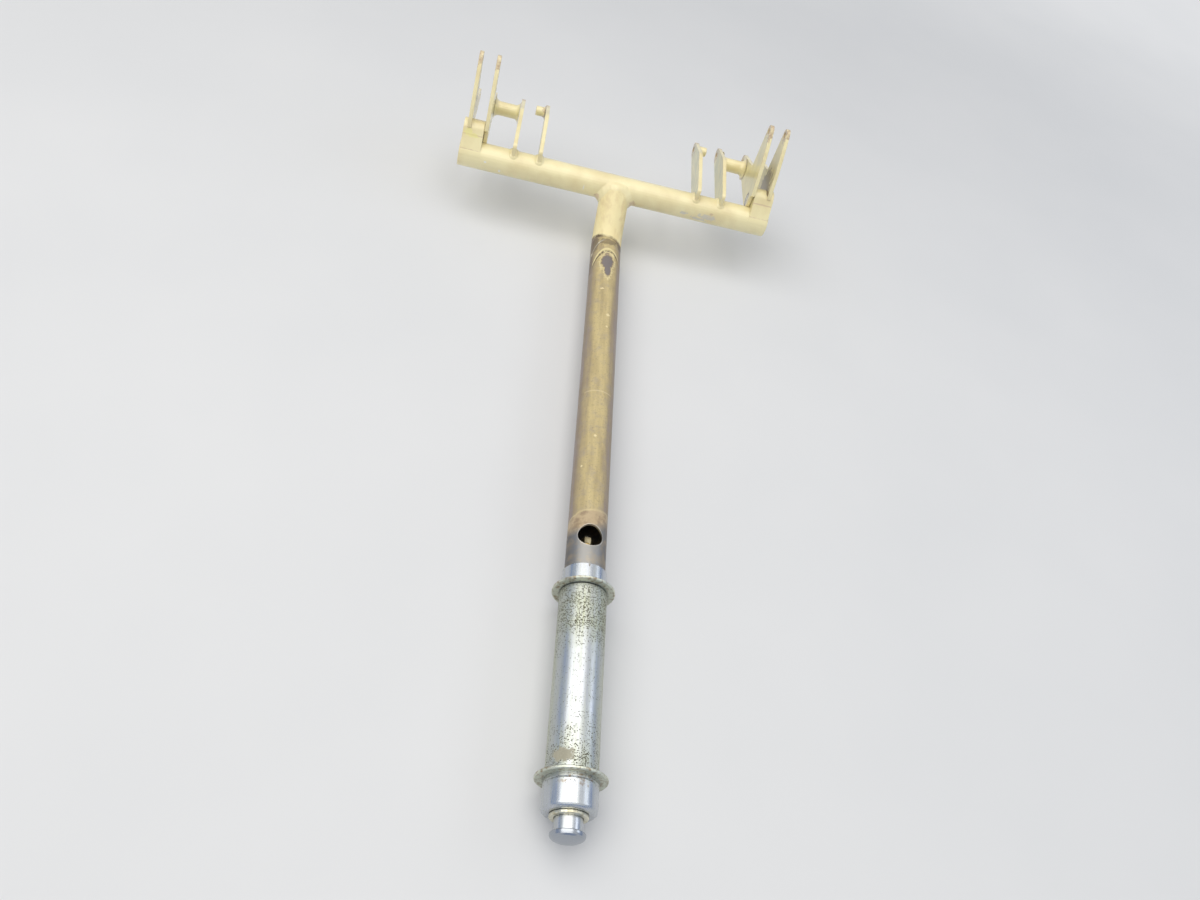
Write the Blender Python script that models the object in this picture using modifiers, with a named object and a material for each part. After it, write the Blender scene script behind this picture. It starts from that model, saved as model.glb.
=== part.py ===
"""Landing gear retraction handle: a welded tee lever with a sliding, sprung grip.

The lever's tube runs along Y with its grip at -Y. It rises in a short bend to the cross tube, which
lies along X and is what the lever swings on. Two cranks and two straps stand on each end of the
cross tube. The grip slides on the tube, and a push button in its end works a rod inside the tube.
Z points up, y = 0 is the middle of the length, and z = 0 is the lowest point of the grip's flange.
"""

import math

import bmesh
import bpy
from mathutils import Matrix, Vector

MM = 0.001
MERGE_DISTANCE = 0.00001

# Clearances
SEAT_GAP = 0.3 * MM
RUNNING_GAP = 0.3 * MM

# Lever tube, measured from the cross tube's axis towards the grip
TUBE_RADIUS = 12.7 * MM
TUBE_WALL = 1.65 * MM
HANDLE_DROP = 27.6 * MM
BEND_STATION = 40.0 * MM
BEND_RADIUS = 46.0 * MM
STUB_SETBACK = 3.2 * MM
BEND_STEPS = 7
TUBE_SIDES = 32
BORE_SIDES = 24

# Creases that the bend left on the upper side of the lever tube
CREASE_STATIONS = (57.0 * MM, 68.0 * MM)
CREASE_HEIGHTS = (0.45 * MM, 0.75 * MM)
CREASE_WIDTH = 2.6 * MM
CREASE_SWEEP = 13.0 * MM
CREASE_SPREAD = 1.05
CREASE_END = 90.0 * MM
CREASE_STEP = 2.6 * MM
TROUGH_SHIFT = 2.2
TROUGH_SHARE = 0.6

# Lock pin hole and rod guide in the lever tube
LOCK_HOLE_STATION = 353.0 * MM
LOCK_HOLE_RADIUS = 7.9 * MM
GUIDE_STATION = 354.0 * MM
GUIDE_NECK_RADIUS = 4.2 * MM
GUIDE_NECK_LENGTH = 8.5 * MM
GUIDE_BODY_LENGTH = 10.0 * MM
RIVET_RADIUS = 1.6 * MM
RIVET_DEPTH = 6.0 * MM
RIVET_RECESS = 0.2 * MM

# Cross tube and its pivot bushings
CROSS_RADIUS = 11.1 * MM
CROSS_WALL = 1.65 * MM
CROSS_LENGTH = 271.5 * MM
BUSHING_WALL = 2.0 * MM
BUSHING_LENGTH = 19.0 * MM
BUSHING_RECESS = 1.0 * MM

# Cranks, each a flat plate with a standing arm and a lobe that points away from the grip. The
# insets of cranks, straps and bosses are measured from the ends of the cross tube
PLATE_THICKNESS = 3.2 * MM
PLATE_EDGE = 0.35 * MM
OUTER_CRANK_INSET = 5.15 * MM
INNER_CRANK_INSET = 19.45 * MM
ARM_TIP = (29.0 * MM, 69.5 * MM)
ARM_TIP_RADIUS = 5.2 * MM
ARM_FOOT = (0.4 * MM, 23.6 * MM)
ARM_BOW = 2.2 * MM
CROTCH_HEIGHT = 32.0 * MM
CROTCH_RADIUS = 3.0 * MM
LOBE_RADIUS = 6.3 * MM
LOBE_TOE = (3.5 * MM, 5.7 * MM)
ARM_TOE = (3.5 * MM, 20.1 * MM)
ARM_HOLE_RADIUS = 2.45 * MM

# Link bolt axis that the crank lobes, the straps and the stop bosses share
LINK_AXIS = (69.0 * MM, 13.7 * MM)
LINK_HOLE_RADIUS = 2.45 * MM

# Straps
OUTER_STRAP_INSET = 44.75 * MM
INNER_STRAP_INSET = 66.65 * MM
STRAP_TIP_RADIUS = 6.3 * MM
STRAP_SHOULDER = (41.0 * MM, 28.0 * MM)
STRAP_SHOULDER_RADIUS = 16.0 * MM
STRAP_NOSE = (-5.6 * MM, 20.6 * MM)
STRAP_NOSE_RADIUS = 3.5 * MM
STRAP_HEEL_HEIGHT = 1.4 * MM

# Crank boss, the short tube that lies on the cross tube and carries the cranks
BOSS_CENTRE = (8.0 * MM, 18.0 * MM)
BOSS_RADIUS = 8.5 * MM
BOSS_BORE_RADIUS = 4.8 * MM
BOSS_INSET = 0.55 * MM

# Spacer tube between the inner crank and the outer strap
SPACER_AXIS = (57.0 * MM, 14.0 * MM)
SPACER_RADIUS = 5.9 * MM
SPACER_BORE_RADIUS = 3.3 * MM
SPACER_FLARE = 4.2 * MM

# Stop boss on the inner strap
STOP_BOSS_RADIUS = 4.1 * MM
STOP_BOSS_LENGTH = 8.0 * MM
STOP_BOSS_FILLET = 2.2 * MM

# Sliding grip, measured from the cross tube's axis
COLLAR_STATION = 374.7 * MM
COLLAR_LENGTH = 12.4 * MM
COLLAR_RADIUS = 13.95 * MM
COLLAR_FLANGE_RADIUS = 19.3 * MM
FLANGE_THICKNESS = 1.8 * MM
SLEEVE_RADIUS = 14.5 * MM
END_FLANGE_STATION = 500.6 * MM
END_FLANGE_RADIUS = 19.85 * MM
END_BODY_RADIUS = 15.0 * MM
END_BODY_LENGTH = 17.2 * MM
END_BODY_ROUNDING = 2.6 * MM
SPIGOT_LENGTH = 20.6 * MM
WEB_THICKNESS = 3.0 * MM
GROOVE_DEPTH = 0.5 * MM
GROOVE_WIDTH = 0.9 * MM
GROOVE_OFFSET = 2.0 * MM
GRIP_SPRING_LENGTH = 33.4 * MM
GRIP_SPRING_WIRE = 0.8 * MM
GRIP_SPRING_TURNS = 6

# Collar index notch
NOTCH_WIDTH = 1.2 * MM
NOTCH_LENGTH = 2.6 * MM

# End bush and push button
BUSH_RIM_RADIUS = 10.45 * MM
BUSH_RIM_LENGTH = 1.5 * MM
BUSH_SHANK_RADIUS = 9.3 * MM
BUSH_SHANK_LENGTH = 12.1 * MM
BUTTON_NECK_RADIUS = 7.65 * MM
BUTTON_HEAD_RADIUS = 9.5 * MM
BUTTON_HEAD_LENGTH = 4.6 * MM
BUTTON_RIM = 1.5 * MM
BUTTON_TRAVEL_ROOM = 7.2 * MM
BUTTON_SHOULDER_RADIUS = 8.8 * MM
BUTTON_SHOULDER_LENGTH = 3.7 * MM
BUTTON_SOCKET_DEPTH = 16.0 * MM
BUTTON_SPRING_WIRE = 0.7 * MM
BUTTON_SPRING_RADIUS = 7.4 * MM
BUTTON_SPRING_TURNS = 5

# Release rod
ROD_RADIUS = 2.4 * MM
ROD_TIP_STATION = 345.4 * MM
ROD_PIN_RADIUS = 0.8 * MM
ROD_PIN_OFFSET = 8.0 * MM
ROD_PIN_END_GAP = 0.4 * MM
NUT_FLATS = 7.0 * MM
NUT_LENGTH = 4.6 * MM

# Facets of round pieces
TURNED_STEPS = 32
SMALL_STEPS = 20
PIN_STEPS = 12
WIRE_SIDES = 6
WIRE_POINTS_PER_TURN = 10
SMOOTH_ANGLE = math.radians(32)
EDGE_ANGLE = math.radians(40)

# Places that follow from the sizes above
CROSS_END_X = CROSS_LENGTH / 2
OUTER_CRANK_X = CROSS_END_X - OUTER_CRANK_INSET
INNER_CRANK_X = CROSS_END_X - INNER_CRANK_INSET
OUTER_STRAP_X = CROSS_END_X - OUTER_STRAP_INSET
INNER_STRAP_X = CROSS_END_X - INNER_STRAP_INSET
BOSS_END_X = CROSS_END_X - BOSS_INSET
BORE_RADIUS = TUBE_RADIUS - TUBE_WALL
GUIDE_BODY_STATION = GUIDE_STATION + GUIDE_NECK_LENGTH
GUIDE_END = GUIDE_BODY_STATION + GUIDE_BODY_LENGTH
SLEEVE_BORE_RADIUS = TUBE_RADIUS + RUNNING_GAP
COLLAR_FLANGE_STATION = COLLAR_STATION + COLLAR_LENGTH
SLEEVE_START = COLLAR_FLANGE_STATION + FLANGE_THICKNESS + SEAT_GAP
SLEEVE_END = END_FLANGE_STATION - SEAT_GAP
WEB_STATION = END_FLANGE_STATION - SPIGOT_LENGTH
TUBE_END = WEB_STATION - GRIP_SPRING_LENGTH - 2 * SEAT_GAP
END_BODY_START = END_FLANGE_STATION + FLANGE_THICKNESS
END_BODY_END = END_BODY_START + END_BODY_LENGTH
BUSH_RIM_STATION = END_BODY_END + SEAT_GAP
BUSH_RIM_END = BUSH_RIM_STATION + BUSH_RIM_LENGTH
BUSH_INNER_END = END_BODY_END - BUSH_SHANK_LENGTH
CAVITY_RADIUS = BUSH_SHANK_RADIUS + SEAT_GAP
BUTTON_SHOULDER_END = BUSH_INNER_END - SEAT_GAP
BUTTON_INNER_END = BUTTON_SHOULDER_END - BUTTON_SHOULDER_LENGTH
BUTTON_HEAD_STATION = BUSH_RIM_END + BUTTON_TRAVEL_ROOM
BUTTON_END = BUTTON_HEAD_STATION + BUTTON_HEAD_LENGTH
ROD_END = BUTTON_INNER_END + BUTTON_SOCKET_DEPTH - SEAT_GAP
LOBE_END = LINK_AXIS[0] + LOBE_RADIUS
PIVOT_Y = (BUTTON_END - LOBE_END) / 2
TUBE_AXIS_Z = END_FLANGE_RADIUS
PIVOT_Z = TUBE_AXIS_Z + HANDLE_DROP

CREAM = ("cream_enamel", (0.78, 0.68, 0.42, 1.0), 0.0, 0.35)
OLIVE = ("olive_paint", (0.43, 0.36, 0.20, 1.0), 0.0, 0.5)
CHROME = ("chrome_plate", (0.78, 0.78, 0.76, 1.0), 1.0, 0.15)
BRASS = ("brass", (0.72, 0.60, 0.32, 1.0), 1.0, 0.35)
BRONZE = ("bearing_bronze", (0.55, 0.36, 0.18, 1.0), 1.0, 0.45)
STEEL = ("bare_steel", (0.52, 0.51, 0.49, 1.0), 1.0, 0.35)


def clear_scene():
    for item in list(bpy.data.objects):
        bpy.data.objects.remove(item, do_unlink=True)


def make_collection(name):
    collection = bpy.data.collections.new(name)
    bpy.context.scene.collection.children.link(collection)
    return collection


def make_material(finish):
    name, colour, metallic, roughness = finish
    material = bpy.data.materials.get(name)
    if material is None:
        material = bpy.data.materials.new(name)
        material.use_nodes = True
        shader = material.node_tree.nodes["Principled BSDF"]
        shader.inputs["Base Color"].default_value = colour
        shader.inputs["Metallic"].default_value = metallic
        shader.inputs["Roughness"].default_value = roughness
    return material


clear_scene()
PARTS = make_collection("landing_gear_retraction_handle")
CUTTERS = make_collection("cutters")

lever_axis = bpy.data.objects.new("lever_axis", None)
lever_axis.location = (0.0, PIVOT_Y, TUBE_AXIS_Z)
lever_axis.rotation_euler = (math.radians(90), 0.0, 0.0)
PARTS.objects.link(lever_axis)
bpy.context.view_layer.update()

# A turned piece on the lever tube's axis has its own Z along the tube, away from the cross tube
ON_LEVER = lever_axis.matrix_world.copy()
# A plate's own X and Y are the object's Y and Z, and its thickness runs along X
PLATE_TURN = Matrix(((0, 0, 1), (1, 0, 0), (0, 1, 0))).to_4x4()
ALONG_X = Matrix.Rotation(math.radians(90), 4, "Y")
ALONG_MINUS_X = Matrix.Rotation(math.radians(-90), 4, "Y")


def at_pivot(x, place=(0.0, 0.0)):
    """A shift to a place given as X and as Y and Z from the cross tube's axis."""
    return Matrix.Translation((x, PIVOT_Y + place[0], PIVOT_Z + place[1]))


def add_piece(name, mesh, matrix, finish):
    piece = bpy.data.objects.new(name, mesh)
    if finish is not None and not mesh.materials:
        mesh.materials.append(make_material(finish))
    (PARTS if finish is not None else CUTTERS).objects.link(piece)
    piece.matrix_world = matrix
    if finish is None:
        piece.hide_render = True
        piece.display_type = "WIRE"
    return piece


def shade(mesh):
    mesh.shade_smooth()
    mesh.set_sharp_from_angle(angle=SMOOTH_ANGLE)


def screw(piece, steps):
    turn = piece.modifiers.new("turn", "SCREW")
    turn.axis = "Z"
    turn.steps = steps
    turn.render_steps = steps
    turn.use_merge_vertices = True
    turn.merge_threshold = MERGE_DISTANCE
    turn.use_smooth_shade = True


def profile_mesh(name, outline, closed):
    mesh = bpy.data.meshes.new(name)
    count = len(outline)
    edges = [(i, i + 1) for i in range(count - 1)]
    if closed:
        edges.append((count - 1, 0))
    mesh.from_pydata([(radius, 0.0, along) for radius, along in outline], edges, [])
    return mesh


def turned(name, outline, matrix, finish, steps=TURNED_STEPS, closed=True):
    """Turn an outline of (radius, station) round the piece's Z axis.

    The outline runs down the outer side, from the high station to the low one. It is closed for a
    ring, and open with both ends on the axis for a solid bar.
    """
    piece = add_piece(name, profile_mesh(name, outline, closed), matrix, finish)
    screw(piece, steps)
    return piece


def ring(outer, inner, low, high, edge=0.0):
    """The outline of a plain ring with an optional small chamfer on its outer edges."""
    if edge == 0.0:
        return [(outer, high), (outer, low), (inner, low), (inner, high)]
    return [(outer - edge, high), (outer, high - edge), (outer, low + edge), (outer - edge, low),
            (inner, low), (inner, high)]


def arc(centre, radius, start, end, steps):
    """Points on an arc, from one angle in degrees to another."""
    points = []
    for step in range(steps + 1):
        angle = math.radians(start + (end - start) * step / steps)
        points.append((centre[0] + radius * math.cos(angle), centre[1] + radius * math.sin(angle)))
    return points


def angle_of(vector):
    return math.degrees(math.atan2(vector[1], vector[0]))


def rounded_corner(before, corner, after, radius, steps=4):
    """Points of the arc that rounds the corner between two straight runs."""
    corner = Vector(corner)
    to_before = (Vector(before) - corner).normalized()
    to_after = (Vector(after) - corner).normalized()
    half = to_before.angle(to_after) / 2
    centre = corner + (to_before + to_after).normalized() * (radius / math.sin(half))
    start = corner + to_before * (radius / math.tan(half)) - centre
    end = corner + to_after * (radius / math.tan(half)) - centre
    first = angle_of(start)
    sweep = (angle_of(end) - first + 180) % 360 - 180
    return arc(centre, radius, first, first + sweep, steps)


def tangent_point(point, centre, radius, side):
    """Where a line from a point touches a circle; side is 1 or -1."""
    away = Vector(point) - Vector(centre)
    turn = math.degrees(math.acos(radius / away.length)) * side
    angle = math.radians(angle_of(away) + turn)
    return (centre[0] + radius * math.cos(angle), centre[1] + radius * math.sin(angle))


def direction_angle(centre, point):
    return angle_of((point[0] - centre[0], point[1] - centre[1]))


def bowed(start, end, bow, steps=6):
    """Points between two ends on a curve that bulges to the right of its run."""
    start = Vector(start)
    run = Vector(end) - start
    side = Vector((run.y, -run.x)).normalized()
    points = []
    for step in range(1, steps):
        share = step / steps
        points.append(tuple(start + run * share + side * (bow * 4 * share * (1 - share))))
    return points


def evaluated_mesh(piece):
    """The piece's mesh as its curve and modifiers make it, with loose caps welded on."""
    bpy.context.view_layer.update()
    shape = piece.evaluated_get(bpy.context.evaluated_depsgraph_get())
    mesh = bpy.data.meshes.new_from_object(shape)
    build = bmesh.new()
    build.from_mesh(mesh)
    bmesh.ops.remove_doubles(build, verts=build.verts, dist=MERGE_DISTANCE)
    build.to_mesh(mesh)
    build.free()
    return mesh


def curve_to_mesh(curve, name):
    """The closed mesh that a curve object makes; the curve is removed."""
    holder = bpy.data.objects.new(name, curve)
    CUTTERS.objects.link(holder)
    mesh = evaluated_mesh(holder)
    mesh.name = name
    bpy.data.objects.remove(holder, do_unlink=True)
    bpy.data.curves.remove(curve)
    return mesh


def flat_mesh(name, outline, thickness):
    """A flat plate of an outline, centred on its own plane."""
    curve = bpy.data.curves.new(name, "CURVE")
    curve.dimensions = "2D"
    curve.fill_mode = "BOTH"
    curve.extrude = thickness / 2
    curve.render_resolution_u = 0
    spline = curve.splines.new("POLY")
    spline.points.add(len(outline) - 1)
    for point, (across, up) in zip(spline.points, outline):
        point.co = (across, up, 0.0, 1.0)
    spline.use_cyclic_u = True
    return curve_to_mesh(curve, name)


def wire_mesh(name, points, radius, sides):
    """A round bar along a line of points, with filled ends."""
    curve = bpy.data.curves.new(name, "CURVE")
    curve.dimensions = "3D"
    curve.bevel_depth = radius
    curve.bevel_resolution = (sides - 4) // 2
    curve.use_fill_caps = True
    curve.render_resolution_u = 0
    spline = curve.splines.new("POLY")
    spline.points.add(len(points) - 1)
    for point, place in zip(spline.points, points):
        point.co = (*place, 1.0)
    return curve_to_mesh(curve, name)


def round_cutter(name, radius, length, matrix, sides=SMALL_STEPS):
    """A cylinder that removes material, centred on its place and lying along its own Z."""
    build = bmesh.new()
    bmesh.ops.create_cone(build, cap_ends=True, segments=sides, radius1=radius, radius2=radius,
                          depth=length)
    mesh = bpy.data.meshes.new(name)
    build.to_mesh(mesh)
    build.free()
    return add_piece(name, mesh, matrix, None)


def cut(piece, cutter):
    hole = piece.modifiers.new(cutter.name, "BOOLEAN")
    hole.operation = "DIFFERENCE"
    hole.solver = "EXACT"
    hole.object = cutter


def soften(piece, width):
    edge = piece.modifiers.new("edge", "BEVEL")
    edge.width = width
    edge.segments = 1
    edge.limit_method = "ANGLE"
    edge.angle_limit = EDGE_ANGLE


def on_lever(station, across=0.0, up=0.0):
    """A world point from a station along the lever tube and offsets from its axis."""
    return Vector((across, PIVOT_Y - station, TUBE_AXIS_Z + up))


# Lever tube

def lever_path(start, end):
    """The tube's centre line in world space, from a distance along the stub to a station."""
    stub = Vector((0.0, -BEND_STATION, -HANDLE_DROP))
    slope = math.atan2(HANDLE_DROP, BEND_STATION)
    reach = BEND_RADIUS * math.tan(slope / 2)
    pivot = Vector((0.0, PIVOT_Y, PIVOT_Z))
    points = [pivot + stub.normalized() * start]
    centre = on_lever(BEND_STATION + reach, up=BEND_RADIUS)
    for step in range(BEND_STEPS + 1):
        angle = slope * (1 - step / BEND_STEPS)
        turn = Vector((0.0, math.sin(angle), -math.cos(angle)))
        points.append(centre + turn * BEND_RADIUS)
    points.append(on_lever(end))
    return points


def creased_path(start, end):
    """The centre line with more points where the creases lie."""
    points = lever_path(start, end)
    station = PIVOT_Y - points[-2].y + CREASE_STEP
    rings = []
    while station < CREASE_END:
        rings.append(on_lever(station))
        station += CREASE_STEP
    return points[:-1] + rings + [points[-1]]


def crease_rise(station, angle):
    """How far the bend's creases lift the tube's surface; the angle is from the top."""
    fade = max(0.0, 1 - (angle / CREASE_SPREAD) ** 2)
    rise = 0.0
    for place, height in zip(CREASE_STATIONS, CREASE_HEIGHTS):
        offset = (station - place - CREASE_SWEEP * angle * angle) / CREASE_WIDTH
        ridge = math.exp(-offset * offset)
        trough = math.exp(-(offset - TROUGH_SHIFT) ** 2)
        rise += height * fade * (ridge - TROUGH_SHARE * trough)
    return rise


def crease_surface(mesh):
    for vertex in mesh.vertices:
        station = PIVOT_Y - vertex.co.y
        up = vertex.co.z - TUBE_AXIS_Z
        if station < BEND_STATION or up <= 0.0:
            continue
        angle = math.atan2(vertex.co.x, up)
        rise = crease_rise(station, angle)
        vertex.co.x += rise * math.sin(angle)
        vertex.co.z += rise * math.cos(angle)


def build_lever_tube():
    outside = wire_mesh("lever_tube", creased_path(STUB_SETBACK, TUBE_END), TUBE_RADIUS,
                        TUBE_SIDES)
    crease_surface(outside)
    shade(outside)
    tube = add_piece("lever_tube", outside, Matrix.Identity(4), OLIVE)
    overrun = 2 * TUBE_WALL
    inside = wire_mesh("lever_bore", lever_path(STUB_SETBACK - overrun, TUBE_END + overrun),
                       BORE_RADIUS, BORE_SIDES)
    bore = add_piece("lever_bore", inside, Matrix.Identity(4), None)
    saddle = round_cutter("cross_tube_cope", CROSS_RADIUS + SEAT_GAP, CROSS_LENGTH,
                          at_pivot(0.0) @ ALONG_X, TURNED_STEPS)
    hole = round_cutter("lock_hole", LOCK_HOLE_RADIUS, 2 * TUBE_RADIUS,
                        Matrix.Translation(on_lever(LOCK_HOLE_STATION, up=TUBE_RADIUS)),
                        TURNED_STEPS)
    rivet_hole = round_cutter("rivet_hole", RIVET_RADIUS + SEAT_GAP, 2 * TUBE_WALL + RIVET_DEPTH,
                              rivet_place() @ Matrix.Translation((0, 0, -TUBE_WALL)), PIN_STEPS)
    for cutter in (bore, saddle, hole, rivet_hole):
        cut(tube, cutter)
    return rivet_hole


def rivet_place():
    """The rivet stands on the lowest line of the tube, midway along the rod guide's body."""
    station = (GUIDE_BODY_STATION + GUIDE_END) / 2
    return Matrix.Translation(on_lever(station, up=-TUBE_RADIUS + RIVET_DEPTH / 2))


def build_rod_guide(rivet_hole):
    """The guide's narrow neck reaches under the lock hole and is the seat of the rod's nut."""
    body = BORE_RADIUS - SEAT_GAP
    bore = ROD_RADIUS + RUNNING_GAP
    outline = [
        (body, GUIDE_END),
        (body, GUIDE_BODY_STATION + PLATE_EDGE),
        (body - PLATE_EDGE, GUIDE_BODY_STATION),
        (GUIDE_NECK_RADIUS, GUIDE_BODY_STATION),
        (GUIDE_NECK_RADIUS, GUIDE_STATION),
        (bore, GUIDE_STATION),
        (bore, GUIDE_END),
    ]
    guide = turned("guide_plug", outline, ON_LEVER, BRASS, SMALL_STEPS)
    cut(guide, rivet_hole)
    low = -RIVET_DEPTH / 2 + RIVET_RECESS
    high = RIVET_DEPTH / 2 - SEAT_GAP
    outline = [(0.0, high), (RIVET_RADIUS, high), (RIVET_RADIUS, low), (0.0, low)]
    turned("plug_rivet", outline, rivet_place(), STEEL, PIN_STEPS, closed=False)


# Cross tube and bushings

def build_cross_tube():
    inner = CROSS_RADIUS - CROSS_WALL
    turned("cross_tube", ring(CROSS_RADIUS, inner, -CROSS_END_X, CROSS_END_X, PLATE_EDGE),
           at_pivot(0.0) @ ALONG_X, CREAM)
    outer = inner - SEAT_GAP
    bushing = ring(outer, outer - BUSHING_WALL, 0.0, BUSHING_LENGTH, PLATE_EDGE)
    end = CROSS_END_X - BUSHING_RECESS - BUSHING_LENGTH
    turned("left_pivot_bushing", bushing, at_pivot(-end) @ ALONG_MINUS_X, BRONZE, SMALL_STEPS)
    turned("right_pivot_bushing", bushing, at_pivot(end) @ ALONG_X, BRONZE, SMALL_STEPS)


# Plates that stand on the cross tube, drawn as Y and Z from the cross tube's axis

def crank_outline():
    """The arm rises to its tip, and the lobe reaches back to the link bolt."""
    front = tangent_point(ARM_FOOT, ARM_TIP, ARM_TIP_RADIUS, -1)
    tip = arc(ARM_TIP, ARM_TIP_RADIUS, direction_angle(ARM_TIP, front), 0.0, 8)
    rear = ARM_TIP[0] + ARM_TIP_RADIUS
    crotch = (rear, CROTCH_HEIGHT)
    lobe_top = tangent_point(crotch, LINK_AXIS, LOBE_RADIUS, -1)
    inside = rounded_corner(tip[-1], crotch, lobe_top, CROTCH_RADIUS)
    lobe = arc(LINK_AXIS, LOBE_RADIUS, direction_angle(LINK_AXIS, lobe_top), -90.0, 9)
    return tip + inside + lobe + [LOBE_TOE, ARM_TOE, ARM_FOOT] + bowed(ARM_FOOT, front, -ARM_BOW)


def strap_outline():
    """A wide foot over the cross tube that tapers to a round end at the link bolt."""
    tip_top = tangent_point(STRAP_SHOULDER, LINK_AXIS, STRAP_TIP_RADIUS, -1)
    tip = arc(LINK_AXIS, STRAP_TIP_RADIUS, direction_angle(LINK_AXIS, tip_top), -95.0, 9)
    nose_foot = (STRAP_NOSE[0], 0.0)
    heel = (0.0, STRAP_HEEL_HEIGHT)
    nose = rounded_corner(nose_foot, STRAP_NOSE, STRAP_SHOULDER, STRAP_NOSE_RADIUS)
    shoulder = rounded_corner(STRAP_NOSE, STRAP_SHOULDER, tip_top, STRAP_SHOULDER_RADIUS)
    return tip + [heel, nose_foot] + nose + shoulder


def boss_outline(clearance=0.0):
    """The boss circle with flanks that run down tangent to the cross tube."""
    lean = angle_of(BOSS_CENTRE)
    distance = Vector(BOSS_CENTRE).length
    spread = math.degrees(math.acos((CROSS_RADIUS - BOSS_RADIUS) / distance))
    top = arc(BOSS_CENTRE, BOSS_RADIUS + clearance, lean + spread, lean - spread, 16)
    foot = arc((0.0, 0.0), CROSS_RADIUS + clearance, lean - spread, lean + spread, 1)
    return top + foot


def build_plates():
    tube = bpy.data.objects["cross_tube_cope"]
    crank = flat_mesh("crank", crank_outline(), PLATE_THICKNESS)
    strap = flat_mesh("strap", strap_outline(), PLATE_THICKNESS)
    width = 4 * PLATE_THICKNESS
    for side, sign in (("left", -1), ("right", 1)):
        boss_inner = INNER_CRANK_X + PLATE_THICKNESS / 2 + SEAT_GAP
        boss_middle = sign * (boss_inner + BOSS_END_X) / 2
        boss = add_piece(side + "_crank_boss",
                         flat_mesh("crank_boss", boss_outline(), BOSS_END_X - boss_inner),
                         at_pivot(boss_middle) @ PLATE_TURN, CREAM)
        soften(boss, PLATE_EDGE)
        cut(boss, tube)
        shade(boss.data)
        cut(boss, round_cutter(side + "_boss_bore", BOSS_BORE_RADIUS, BOSS_END_X,
                               at_pivot(boss_middle, BOSS_CENTRE) @ ALONG_X))
        seat = add_piece(side + "_boss_seat",
                         flat_mesh("boss_seat", boss_outline(SEAT_GAP), width),
                         at_pivot(sign * OUTER_CRANK_X) @ PLATE_TURN, None)
        for place, x in (("outer", OUTER_CRANK_X), ("inner", INNER_CRANK_X)):
            plate = add_piece("%s_%s_crank" % (side, place), crank,
                              at_pivot(sign * x) @ PLATE_TURN, CREAM)
            soften(plate, PLATE_EDGE)
            cut(plate, tube)
            if place == "outer":
                cut(plate, seat)
            holes = (("arm", ARM_TIP, ARM_HOLE_RADIUS), ("lobe", LINK_AXIS, LINK_HOLE_RADIUS))
            for end, centre, radius in holes:
                cut(plate, round_cutter("%s_%s_%s_hole" % (side, place, end), radius, width,
                                        at_pivot(sign * x, centre) @ ALONG_X))
        for place, x in (("outer", OUTER_STRAP_X), ("inner", INNER_STRAP_X)):
            plate = add_piece("%s_%s_strap" % (side, place), strap,
                              at_pivot(sign * x) @ PLATE_TURN, CREAM)
            soften(plate, PLATE_EDGE)
            cut(plate, tube)
            cut(plate, round_cutter("%s_%s_strap_hole" % (side, place), LINK_HOLE_RADIUS, width,
                                    at_pivot(sign * x, LINK_AXIS) @ ALONG_X))


def flare(radius, fillet, station, step_sign, steps=4):
    """Points of a hollow fillet that widens a bar towards its end at a station."""
    points = []
    for step in range(steps + 1):
        angle = math.radians(90 * step / steps)
        points.append((radius + fillet * (1 - math.sin(angle)),
                       station + step_sign * fillet * (1 - math.cos(angle))))
    return points


def build_spacers():
    low = OUTER_STRAP_X + PLATE_THICKNESS / 2 + SEAT_GAP
    high = INNER_CRANK_X - PLATE_THICKNESS / 2 - SEAT_GAP
    half = (high - low) / 2
    top = flare(SPACER_RADIUS, SPACER_FLARE, half, -1)
    bottom = [(radius, -station) for radius, station in reversed(top)]
    outline = top + bottom + [(SPACER_BORE_RADIUS, -half), (SPACER_BORE_RADIUS, half)]
    fillet = flare(STOP_BOSS_RADIUS, STOP_BOSS_FILLET, 0.0, 1)
    boss = ([(STOP_BOSS_RADIUS - PLATE_EDGE, STOP_BOSS_LENGTH),
             (STOP_BOSS_RADIUS, STOP_BOSS_LENGTH - PLATE_EDGE)]
            + fillet[::-1] + [(LINK_HOLE_RADIUS, 0.0), (LINK_HOLE_RADIUS, STOP_BOSS_LENGTH)])
    boss_x = INNER_STRAP_X + PLATE_THICKNESS / 2 + SEAT_GAP
    for side, sign, turn in (("left", -1, ALONG_MINUS_X), ("right", 1, ALONG_X)):
        turned(side + "_strap_spacer", outline,
               at_pivot(sign * (low + high) / 2, SPACER_AXIS) @ turn, CREAM, SMALL_STEPS)
        turned(side + "_stop_boss", boss, at_pivot(sign * boss_x, LINK_AXIS) @ turn, CREAM,
               SMALL_STEPS)


# Sliding grip

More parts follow.
